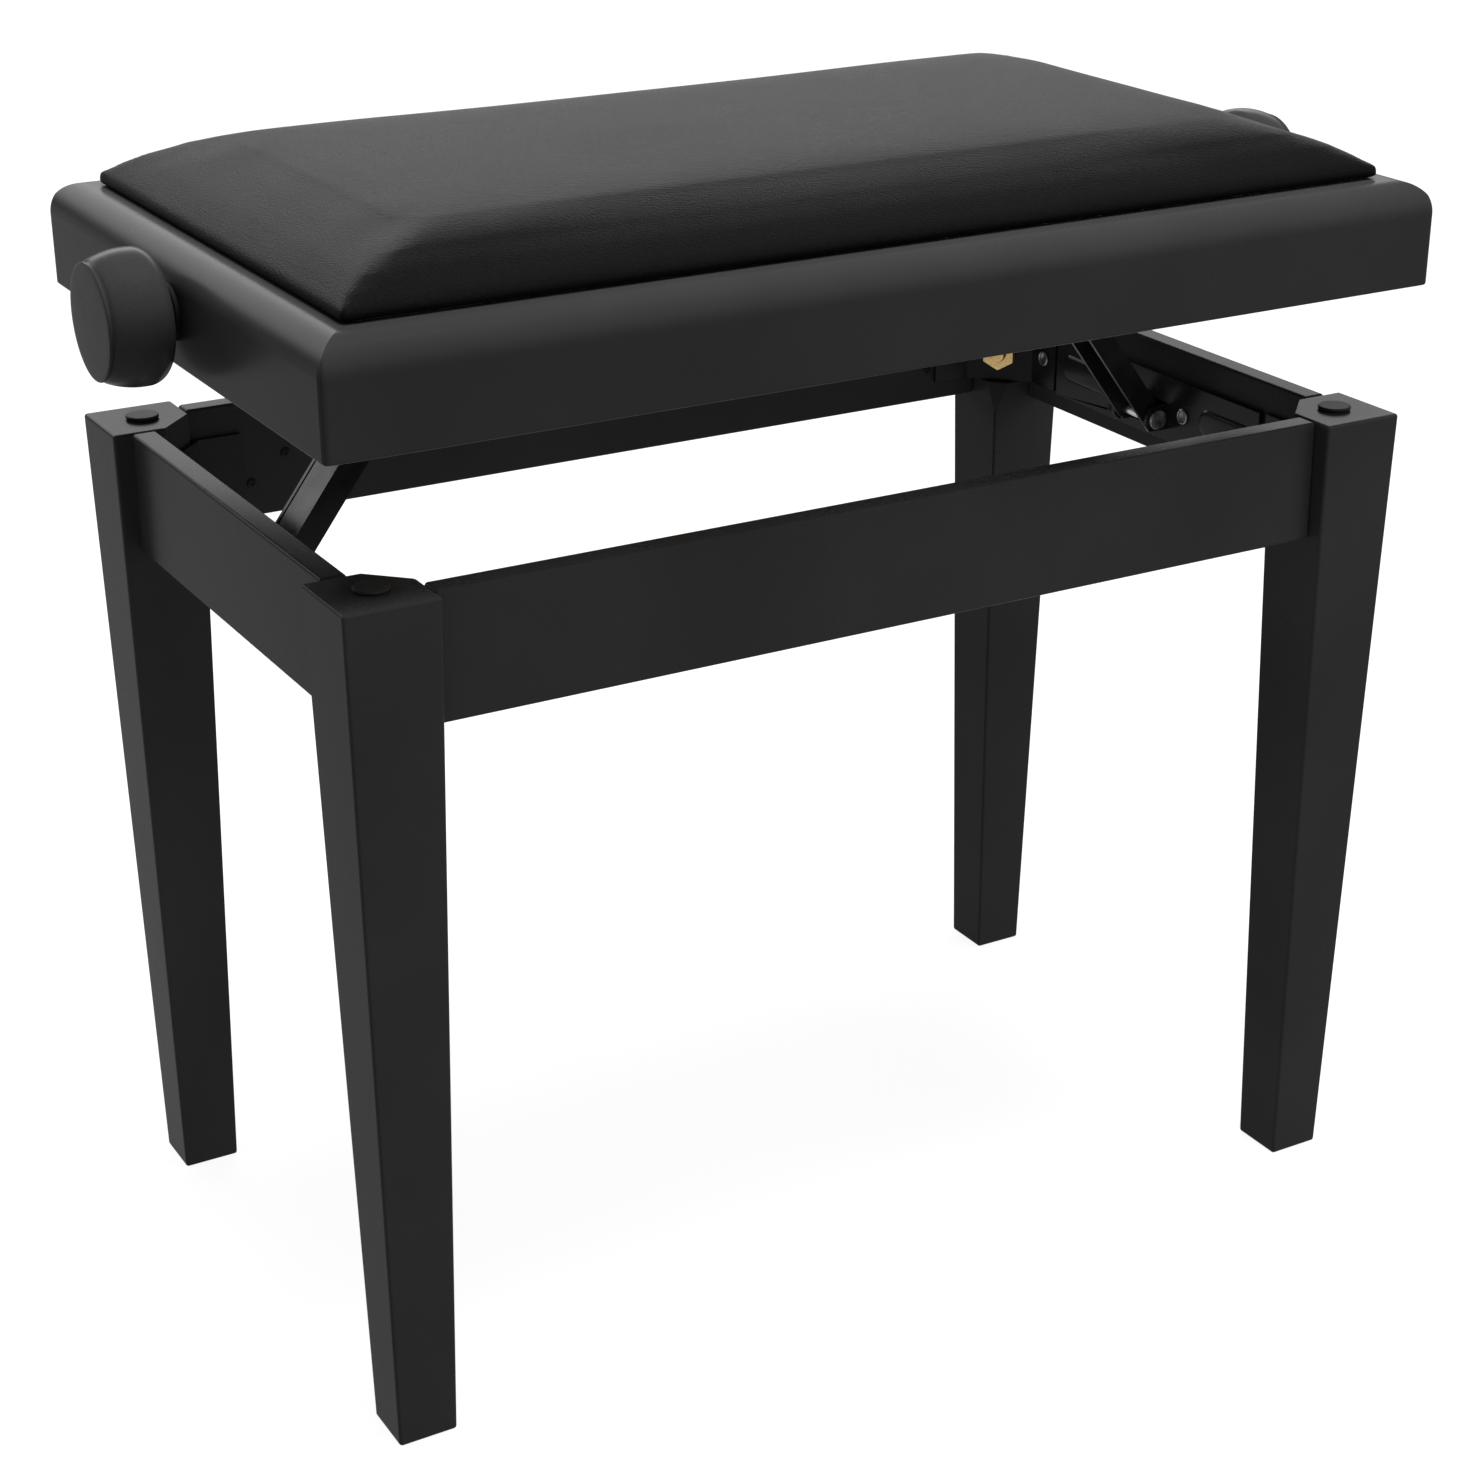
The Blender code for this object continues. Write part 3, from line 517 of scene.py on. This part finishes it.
def apply_all(piece):
    """Make what a piece's modifiers do to it its own mesh."""
    graph = bpy.context.evaluated_depsgraph_get()
    made = bpy.data.meshes.new_from_object(piece.evaluated_get(graph))
    piece.modifiers.clear()
    old = piece.data
    piece.data = made
    bpy.data.meshes.remove(old)


def swell(piece, base):
    """Pad the cover with a short cloth simulation, then cap and even out how far its points have moved."""
    remesh = piece.modifiers.new("voxels", "REMESH")
    remesh.mode = "VOXEL"
    remesh.voxel_size = VOXEL
    apply_all(piece)
    start = positions(piece.data)
    held = piece.vertex_groups.new(name="held")
    for index, point in enumerate(start):
        if point[2] < base + HELD_BELOW:
            held.add([index], 1.0, "REPLACE")
    cloth = piece.modifiers.new("cloth", "CLOTH")
    cloth.settings.quality = 6
    cloth.settings.mass = 0.35
    cloth.settings.tension_stiffness = 12
    cloth.settings.compression_stiffness = 6
    cloth.settings.shear_stiffness = 4
    cloth.settings.bending_stiffness = 1.2
    cloth.settings.vertex_group_mass = "held"
    cloth.settings.use_pressure = True
    cloth.settings.uniform_pressure_force = 4.0
    cloth.settings.effector_weights.gravity = 0.0
    cloth.point_cache.frame_start = 1
    cloth.point_cache.frame_end = CLOTH_FRAMES
    for step in range(1, CLOTH_FRAMES + 1):
        scene.frame_set(step)
    graph = bpy.context.evaluated_depsgraph_get()
    moved = positions(piece.evaluated_get(graph).data)
    shift = moved - start
    length = np.linalg.norm(shift, axis=1)
    shift *= (np.minimum(length, MOST_SHIFT) / np.maximum(length, 1e-9))[:, None]
    pairs = np.empty(len(piece.data.edges) * 2, dtype=np.int64)
    piece.data.edges.foreach_get("vertices", pairs)
    first, second = pairs.reshape(-1, 2).T
    count = np.bincount(first, minlength=len(start)) + np.bincount(second, minlength=len(start))
    for _ in range(EVEN_ROUNDS):
        around = np.zeros_like(shift)
        np.add.at(around, first, shift[second])
        np.add.at(around, second, shift[first])
        shift = (1 - EVEN_SHARE) * shift + EVEN_SHARE * around / np.maximum(count, 1)[:, None]
    piece.modifiers.clear()
    piece.vertex_groups.clear()
    piece.data.vertices.foreach_set("co", (start + shift).ravel())
    scene.frame_set(1)


def finish_cushion():
    """The padded cover, with soft creases at its mitres and faint puckers along its edges."""
    piece, centre, half_x, half_y, base = make_cushion()
    swell(piece, base)
    divide = piece.modifiers.new("finer", "SUBSURF")
    divide.levels = 1
    divide.render_levels = divide.levels
    apply_all(piece)
    points = positions(piece.data)
    x = points[:, 0] - centre.x
    y = points[:, 1] - centre.y
    z = points[:, 2]
    dx = half_x - np.abs(x)
    dy = half_y - np.abs(y)
    inward = np.maximum(np.minimum(dx, dy), 0)
    raised = np.clip((z - base - STILL_BELOW) / FADE_IN, 0, 1)
    mitre = np.exp(-((dx - dy) / (MITRE_HALF + MITRE_WIDENS * inward)) ** 2) * np.exp(-inward / MITRE_FADE)
    pull = np.exp(-inward / PUCKER_FADE)
    along = np.where(dx < dy, y, x)
    puckers = 0.5 * np.sin(along / 0.0105 + 1.3 * np.sin(along / 0.037)) + 0.5 * np.sin(along / 0.0236 + 0.7)
    slow = np.sin(along / 0.031 + 0.4) * np.sin(along / 0.083)
    waves = WAVE_DIP * np.exp(-inward / WAVE_FADE) * slow
    z -= raised * (MITRE_DIP * mitre + PUCKER_DIP * pull * puckers + waves)
    points[:, 2] = np.clip(z, base, None)
    piece.data.vertices.foreach_set("co", points.ravel())
    piece.data.update()
    piece.data.shade_smooth()
    piece.data.materials.clear()
    piece.data.materials.append(MATERIALS["leatherette"])
    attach(piece, "seat")
    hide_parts("cushion")


finish_cushion()


# ------------------------------------------------------------------ knobs and spindle


KNOB_FACE_SHARE = 0.87          # the face's radius, of the knob's
KNOB_FACE = ((0.0040, 0.0), (0.0010, 0.00005))      # (in from the face's edge, behind the face)
KNOB_LIP = 0.0007               # rounded edge of the face
KNOB_LIP_DEPTH = 0.00075
KNOB_GROOVE = ((0.0003, 0.0012), (0.0010, 0.0017), (0.0010, 0.0021), (0.0001, 0.0026))
KNOB_SHADE_SHEEN_DEPTH = 0.0024        # the darker, glossier copy of the finish begins this far behind the face: painted shade and sheen
KNOB_BARREL_STEPS = 14
KNOB_BARREL_POWER = 0.8
KNOB_BACK_ROUND = 0.0095
KNOB_WIDEST = 0.002             # in front of that round
KNOB_NECK = 0.0120
KNOB_NECK_END = 0.0034
KNOB_BORE = 0.0066
KNOB_BORE_DEPTH = 0.012
KNOB_STEPS = 112

THREAD_PITCH = 0.0025
THREAD_STARTS = 2
THREAD_DEPTH = 0.0008
THREAD_FROM = 0.082             # each hand's thread, out from the middle of the spindle
THREAD_TO = 0.214
THREAD_RUNOUT = 1.5             # pitches over which it fades out
THREAD_CREST = 0.25             # flat share of the crest, and of the root
THREAD_ROWS = 10                # rings in one pitch
THREAD_SIDES = 32


def make_knob(name, side):
    """A turned knob: a flat face with a fine groove behind its lip, a barrel side and a short neck."""
    low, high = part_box("knob_" + name)
    outer = max(abs(low.x), abs(high.x))
    inner = min(abs(low.x), abs(high.x))
    radius = (high.z - low.z) / 2
    height = (high.z + low.z) / 2
    length = outer - inner
    face = KNOB_FACE_SHARE * radius
    widest = KNOB_NECK_END + KNOB_BACK_ROUND + KNOB_WIDEST
    profile = [(0.0, length)]
    profile += [(face - inset, length - depth) for inset, depth in KNOB_FACE]
    profile += arc(face - KNOB_FACE[-1][0], length - KNOB_LIP_DEPTH, KNOB_LIP, KNOB_LIP, 80, 10, 4)
    profile += [(face - inset, length - depth) for inset, depth in KNOB_GROOVE]
    front = length - KNOB_GROOVE[-1][1]
    for index in range(1, KNOB_BARREL_STEPS + 1):
        share = index / KNOB_BARREL_STEPS
        swelling = (radius - face) * math.sin(math.pi / 2 * share) ** KNOB_BARREL_POWER
        profile.append((face + swelling, front - (front - widest) * share))
    back = KNOB_NECK_END + KNOB_BACK_ROUND
    profile += arc(radius - KNOB_BACK_ROUND, back, KNOB_BACK_ROUND, KNOB_BACK_ROUND, 0, -80, 14)
    profile += [(KNOB_NECK + 0.0008, KNOB_NECK_END + 0.0001), (KNOB_NECK, KNOB_NECK_END - 0.0006)]
    profile += [(KNOB_NECK, 0.0006), (KNOB_NECK - 0.0005, 0.0)]
    profile += [(KNOB_BORE + 0.0002, 0.0), (KNOB_BORE, 0.001)]
    profile += [(KNOB_BORE, KNOB_BORE_DEPTH), (0.0, KNOB_BORE_DEPTH)]
    data = lathe(profile, KNOB_STEPS, (side * inner, 0, height), (side, 0, 0))
    # The barrel side behind the groove takes the darker, glossier copy of the finish: painted shade and
    # sheen.
    for patch in data.faces:
        patch.material_index = 1 if abs(patch.calc_center_median().x) < outer - KNOB_SHADE_SHEEN_DEPTH else 0
    knob = new_piece("hand_knob_" + name, data, "knob_finish", "spindle_and_knobs", ["knob_" + name])
    knob.data.materials.append(MATERIALS["knob_side_shade_sheen"])


def thread_stations(ends):
    """Each ring's place along the spindle, hand and share of the depth. Hand 0 is plain, 1 or -1 threaded."""
    edges = (-ends, -THREAD_TO, -THREAD_FROM, THREAD_FROM, THREAD_TO, ends)
    runout = THREAD_PITCH * THREAD_RUNOUT
    stations = []
    for start, end, hand in zip(edges, edges[1:], (0, -1, 0, 1, 0)):
        count = 1 if not hand else max(int(round((end - start) / THREAD_PITCH * THREAD_ROWS)), 1)
        for index in range(count + 1):
            at = start + (end - start) * index / count
            depth = min(1.0, (at - start) / runout, (end - at) / runout) if hand else 0.0
            stations.append((at, hand, max(depth, 0.0)))
    return stations


def make_spindle():
    """A rod with a two-start thread of one hand to the left and of the other to the right."""
    low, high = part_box("spindle")
    radius = (high.z - low.z) / 2
    height = (high.z + low.z) / 2
    place = frame_along((0, 0, height), (1, 0, 0))
    data = bmesh.new()
    rings = []
    for at, hand, share in thread_stations((high.x - low.x) / 2):
        ring = []
        for index in range(THREAD_SIDES):
            angle = 2 * math.pi * index / THREAD_SIDES
            phase = (at / THREAD_PITCH - hand * THREAD_STARTS * angle / (2 * math.pi)) % 1.0
            wave = abs(phase * 2 - 1)
            groove = min(max((wave - THREAD_CREST) / (1 - 2 * THREAD_CREST), 0.0), 1.0)
            r = radius - THREAD_DEPTH * share * groove
            ring.append(data.verts.new(place @ Vector((r * math.cos(angle), r * math.sin(angle), at))))
        rings.append(ring)
    join_rings(data, rings)
    data.faces.new(rings[0])
    data.faces.new(rings[-1])
    bmesh.ops.remove_doubles(data, verts=data.verts, dist=0.000005)
    new_piece("threaded_spindle", data, "bright_steel", "spindle_and_knobs", ["spindle"])


for place, side in ENDS:
    make_knob(place, side)
make_spindle()


# ------------------------------------------------------------------ base and lift

# How much the edges of a node's own shape are eased
BOARD_EASE = 0.0005             # boards, and the lift's channels
PRESSING_EASE = 0.0006
BRACKET_EASE = 0.0004           # brackets, the seat board and the travelling nuts
SMALL_EASE = 0.0003
HEXAGON_EASE = 0.0007
BATTEN_EASE = 0.0008

for place in CORNERS:
    refine("leg_" + place, "tapered_leg_" + place, "satin_black_wood", BOARD_EASE, 3, 40)
    refine("rest_pad_" + place, "felt_pad_" + place, "felt", SMALL_EASE)
    refine("corner_bracket_" + place, "bracket_" + place, "black_steel", BRACKET_EASE)
    refine("leg_bolt_" + place, "bolt_" + place, "brass", SMALL_EASE)
    refine("leg_nut_" + place, "hex_nut_" + place, "brass", HEXAGON_EASE)
for place in ("front", "back", "left", "right"):
    refine("apron_" + place, "apron_board_" + place, "satin_black_wood", BOARD_EASE, 3, 40)
for place, _ in HANDS:
    refine("board_batten_" + place, "batten_" + place, "plywood", BATTEN_EASE)
refine("seat_board", "underboard", "plywood", BRACKET_EASE)
for place, _ in ENDS:
    refine("base_mount_" + place, "lower_mount_" + place, "black_steel", PRESSING_EASE)
    refine("seat_mount_" + place, "upper_mount_" + place, "black_steel", PRESSING_EASE)
    refine("main_arm_" + place, "lift_arm_" + place, "black_steel", BOARD_EASE)
    refine("link_" + place, "lift_link_" + place, "black_steel", BOARD_EASE)
    refine("base_pin_" + place, "hinge_pin_" + place, "bright_steel", SMALL_EASE)
    refine("middle_pin_" + place, "centre_pin_" + place, "bright_steel", SMALL_EASE)
    refine("spindle_nut_" + place, "travelling_nut_" + place, "bright_steel", BRACKET_EASE)
    refine("spindle_bush_" + place, "bush_" + place, "black_plastic", SMALL_EASE)
    for hand, _ in HANDS:
        refine("seat_rivet_%s_%s" % (hand, place), "rivet_%s_%s" % (hand, place), "bright_steel", SMALL_EASE)


# ------------------------------------------------------------------ small fixings

# Where each fixing sits: how far out from the bench's middle, and how far above its bracket's or mount's foot
BRACKET_RIVET = (0.0994, 0.0164)
MOUNT_RIVET = (0.0260, 0.0165)
MOUNT_RIB = (0.0600, 0.0175)
SIDE_SCREW = (0.0885, 0.0050)
MOUNT_SCREW = (0.0355, 0.0050)
HIGH_SCREW = (0.1810, 0.0200)
LOW_SCREW = (0.1995, 0.0070)

EYELET_RIM = 0.0041
EYELET_BORE = 0.0029
EYELET_RISE = 0.0010
EYELET_FOOT = 0.0003            # the rim's round starts this far up
SCREW_RADIUS = 0.0027
SCREW_RISE = 0.0009
SCREW_LIFT = 0.00005            # its edge stands this far off the surface
SCREW_RINGS = 14
SCREW_STEPS = 64
SCREW_TURN = 0.4                # radians that its cross is turned
CROSS_HALF = 0.00035            # half width of an arm of the cross
CROSS_REACH = 0.0017
CROSS_FLOOR = 0.0001
RIB_HALF_Y = 0.0210
RIB_HALF_Z = 0.0075
RIB_LEVELS = ((0.0, 0.00003), (0.0006, 0.0005), (0.0014, 0.0010), (0.0026, 0.0012))    # (in, proud)
RIB_STEPS = 32


def surface(start, direction, *nodes):
    """The nearest point where a line from start meets one of the nodes, and which node it is."""
    hits = []
    for node in nodes:
        mesh = NODES[node].data
        corners = [vertex.co for vertex in mesh.vertices]
        tree = BVHTree.FromPolygons(corners, [tuple(face.vertices) for face in mesh.polygons])
        point, _, _, distance = tree.ray_cast(Vector(start), Vector(direction))
        if point is not None:
            hits.append((distance, node, point))
    _, node, point = min(hits)
    return point, node


def make_eyelet(name, start, direction, *nodes):
    """A tubular rivet: a rolled bright rim round its bore, whose floor is a black disc at the surface:
    painted shade for the hole.
    """
    point, node = surface(start, direction, *nodes)
    half = (EYELET_RIM - EYELET_BORE) / 2
    profile = [(EYELET_RIM - 0.0003, 0.00005)]
    profile += arc(EYELET_BORE + half, EYELET_FOOT, half, EYELET_RISE, 0, 180, 10)
    profile += [(EYELET_BORE, 0.0002), (EYELET_BORE - 0.0001, 0.00012), (0.0, 0.00012)]
    data = lathe(profile, 40, point, -Vector(direction))
    # The bore's floor gets the black material: painted shade where the hole would be dark.
    for patch in data.faces:
        away = patch.calc_center_median() - point
        away -= away.dot(Vector(direction)) * Vector(direction)
        patch.material_index = 1 if away.length < EYELET_BORE - 0.0001 else 0
    eyelet = new_piece(name, data, "bright_steel", NODES[node]["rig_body"])
    eyelet.data.materials[0] = MATERIALS["rivet_steel"]
    eyelet.data.materials.append(MATERIALS["black_plastic"])


def make_screw(name, start, direction, *nodes):
    """A small black screw head with a cross recess."""
    point, node = surface(start, direction, *nodes)
    place = frame_along(point, -Vector(direction))
    data = bmesh.new()
    centre = data.verts.new(place @ Vector((0, 0, CROSS_FLOOR)))
    rings = []
    for ring_index in range(1, SCREW_RINGS + 1):
        r = SCREW_RADIUS * ring_index / SCREW_RINGS
        dome = SCREW_LIFT + SCREW_RISE * math.sqrt(max(1.0 - (r / SCREW_RADIUS) ** 2, 0.0))
        ring = []
        for index in range(SCREW_STEPS):
            angle = 2 * math.pi * index / SCREW_STEPS + SCREW_TURN
            x = r * math.cos(angle)
            y = r * math.sin(angle)
            in_cross = min(abs(x), abs(y)) < CROSS_HALF and r < CROSS_REACH
            ring.append(data.verts.new(place @ Vector((x, y, CROSS_FLOOR if in_cross else dome))))
        rings.append(ring)
    for index in range(SCREW_STEPS):
        data.faces.new((centre, rings[0][index], rings[0][(index + 1) % SCREW_STEPS]))
    join_rings(data, rings)
    new_piece(name, data, "black_steel", NODES[node]["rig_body"])


def make_rib(name, start, direction, node):
    """A long rounded stiffening rib pressed into a mount plate."""
    point, node = surface(start, direction, node)
    data = bmesh.new()
    out = -direction[0]
    levels = []
    for inset, proud in RIB_LEVELS:
        ring = []
        radius = RIB_HALF_Z - inset
        for index in range(RIB_STEPS):
            angle = 2 * math.pi * index / RIB_STEPS
            y = radius * math.cos(angle) + math.copysign(RIB_HALF_Y - RIB_HALF_Z, math.cos(angle))
            z = radius * math.sin(angle)
            ring.append(data.verts.new((point.x + out * proud, point.y + y, point.z + z)))
        levels.append(ring)
    join_rings(data, levels)
    data.faces.new(levels[-1])
    new_piece(name, data, "black_steel", NODES[node]["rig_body"])


def towards_end(way, foot, spot):
    """Where a line to a fixing on a short side starts: abreast of it, in the middle of the bench's length."""
    return (0, way * spot[0], foot + spot[1])


def towards_side(side, foot, spot):
    """The same for a fixing on a long side, from the middle of the bench's width."""
    return (side * spot[0], 0, foot + spot[1])


for place, side in ENDS:
    mount = "base_mount_" + place
    apron = "apron_" + place
    end = (side, 0, 0)
    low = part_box(mount)[0].z
    for hand, way in HANDS:
        corner = "%s_%s" % (hand, place)
        bracket = "corner_bracket_" + corner
        board = "apron_" + hand
        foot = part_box(bracket)[0].z
        outward = (0, way, 0)
        make_eyelet("bracket_rivet_" + corner, towards_end(way, foot, BRACKET_RIVET), end, bracket)
        make_eyelet("mount_rivet_" + corner, towards_end(way, low, MOUNT_RIVET), end, mount)
        make_rib("mount_rib_" + corner, towards_end(way, low, MOUNT_RIB), end, mount)
        make_screw("side_screw_" + corner, towards_end(way, foot, SIDE_SCREW), end, bracket, apron)
        make_screw("mount_screw_" + corner, towards_end(way, low, MOUNT_SCREW), end, mount)
        make_screw("high_screw_" + corner, towards_side(side, foot, HIGH_SCREW), outward, board)
        make_screw("low_screw_" + corner, towards_side(side, foot, LOW_SCREW), outward, board, bracket)


# ------------------------------------------------------------------ floor, lights and camera

FLOOR_SIZE = 20.0
FLOOR_GLOW = 0.91               # the floor's own white, so that it stays pale under a soft shadow

PANEL_RADIANCE = 6.6            # the bright panel behind the bench
PANEL_EDGES = (0.30, 0.90)      # it fades in between these parts of the way to straight behind
FILL_RADIANCE = 1.3             # the weak one in front
FILL_EDGES = (-0.20, -0.70)
WORLD_RADIANCE = 0.20           # everywhere
BAND_FOOT = (0.10, 0.31)        # both panels fade in upwards
BAND_TOP = (0.60, 0.40)         # and out again

CAMERA_AT = (-0.6731, -1.1668, 0.8140)
CAMERA_RIGHT = (0.86498, -0.50180, 0.0)
CAMERA_AHEAD = (0.45734, 0.78834, -0.41153)
CAMERA_LENS = 70.78
CAMERA_SHIFT = (-0.0088, 0.0445)


def make_floor():
    data = bmesh.new()
    bmesh.ops.create_grid(data, x_segments=1, y_segments=1, size=FLOOR_SIZE)
    mesh = bpy.data.meshes.new("floor")
    data.to_mesh(mesh)
    data.free()
    floor = bpy.data.objects.new("floor", mesh)
    scene.collection.objects.link(floor)
    made = Nodes("floor")
    made.link(made.between(made.noise(3.0), (0.065, 0.065, 0.065), (0.075, 0.075, 0.075)), "Base Color")
    made.set(Roughness=0.9, Specular_IOR_Level=0.1)
    made.set(Emission_Color=(1.0, 1.0, 1.0, 1.0), Emission_Strength=FLOOR_GLOW)
    mesh.materials.append(made.material)


def make_light(name, location, target, size, radiance):
    """A square lamp that lights the surfaces but isn't mirrored in them."""
    data = bpy.data.lights.new(name, "AREA")
    data.shape = "SQUARE"
    data.size = size
    data.energy = radiance * math.pi * size * size
    lamp = bpy.data.objects.new(name, data)
    lamp.location = location
    aim = Vector(target) - Vector(location)
    lamp.rotation_euler = aim.to_track_quat("-Z", "Y").to_euler()
    lamp.visible_camera = False
    lamp.visible_glossy = False
    scene.collection.objects.link(lamp)


def make_camera():
    data = bpy.data.cameras.new("camera")
    data.sensor_width = 36.0
    data.lens = CAMERA_LENS
    data.shift_x, data.shift_y = CAMERA_SHIFT
    data.clip_start = 0.05
    data.clip_end = 100.0
    camera = bpy.data.objects.new("camera", data)
    scene.collection.objects.link(camera)
    right = Vector(CAMERA_RIGHT).normalized()
    ahead = Vector(CAMERA_AHEAD).normalized()
    up = right.cross(ahead)
    basis = Matrix((right, up, -ahead)).transposed().to_4x4()
    camera.matrix_world = Matrix.Translation(CAMERA_AT) @ basis
    scene.camera = camera


def make_world():
    """Soft studio surroundings: a broad bright panel behind the bench, a weak one in front, dim elsewhere."""
    world = bpy.data.worlds.new("studio")
    world.use_nodes = True
    tree = world.node_tree
    where = tree.nodes.new("ShaderNodeTexCoord")
    split = tree.nodes.new("ShaderNodeSeparateXYZ")
    tree.links.new(where.outputs["Generated"], split.inputs[0])

    def ramp(axis, low, high):
        """0 to 1 as a direction's part along an axis goes from low to high."""
        node = tree.nodes.new("ShaderNodeMapRange")
        node.interpolation_type = "SMOOTHSTEP"
        node.inputs["From Min"].default_value = low
        node.inputs["From Max"].default_value = high
        tree.links.new(split.outputs[axis], node.inputs["Value"])
        return node.outputs["Result"]

    def combine(operation, first, second):
        node = tree.nodes.new("ShaderNodeMath")
        node.operation = operation
        for index, value in enumerate((first, second)):
            if isinstance(value, float):
                node.inputs[index].default_value = value
            else:
                tree.links.new(value, node.inputs[index])
        return node.outputs[0]

    band = combine("MULTIPLY", ramp("Z", *BAND_FOOT), ramp("Z", *BAND_TOP))
    panel = combine("MULTIPLY", combine("MULTIPLY", ramp("Y", *PANEL_EDGES), band), PANEL_RADIANCE)
    fill = combine("MULTIPLY", combine("MULTIPLY", ramp("Y", *FILL_EDGES), band), FILL_RADIANCE)
    strength = combine("ADD", combine("ADD", panel, fill), WORLD_RADIANCE)
    tree.links.new(strength, tree.nodes["Background"].inputs["Strength"])
    tree.nodes["Background"].inputs["Color"].default_value = (1.0, 1.0, 1.0, 1.0)
    scene.world = world


make_floor()
make_world()
make_light("overhead", (0.3, -0.3, 4.2), (0.0, 0.0, 0.4), size=2.2, radiance=40.0)
make_light("front_right", (2.0, -1.9, 1.0), (0.1, 0.0, 0.35), size=1.6, radiance=5.5)
scene.view_settings.view_transform = "Standard"
make_camera()
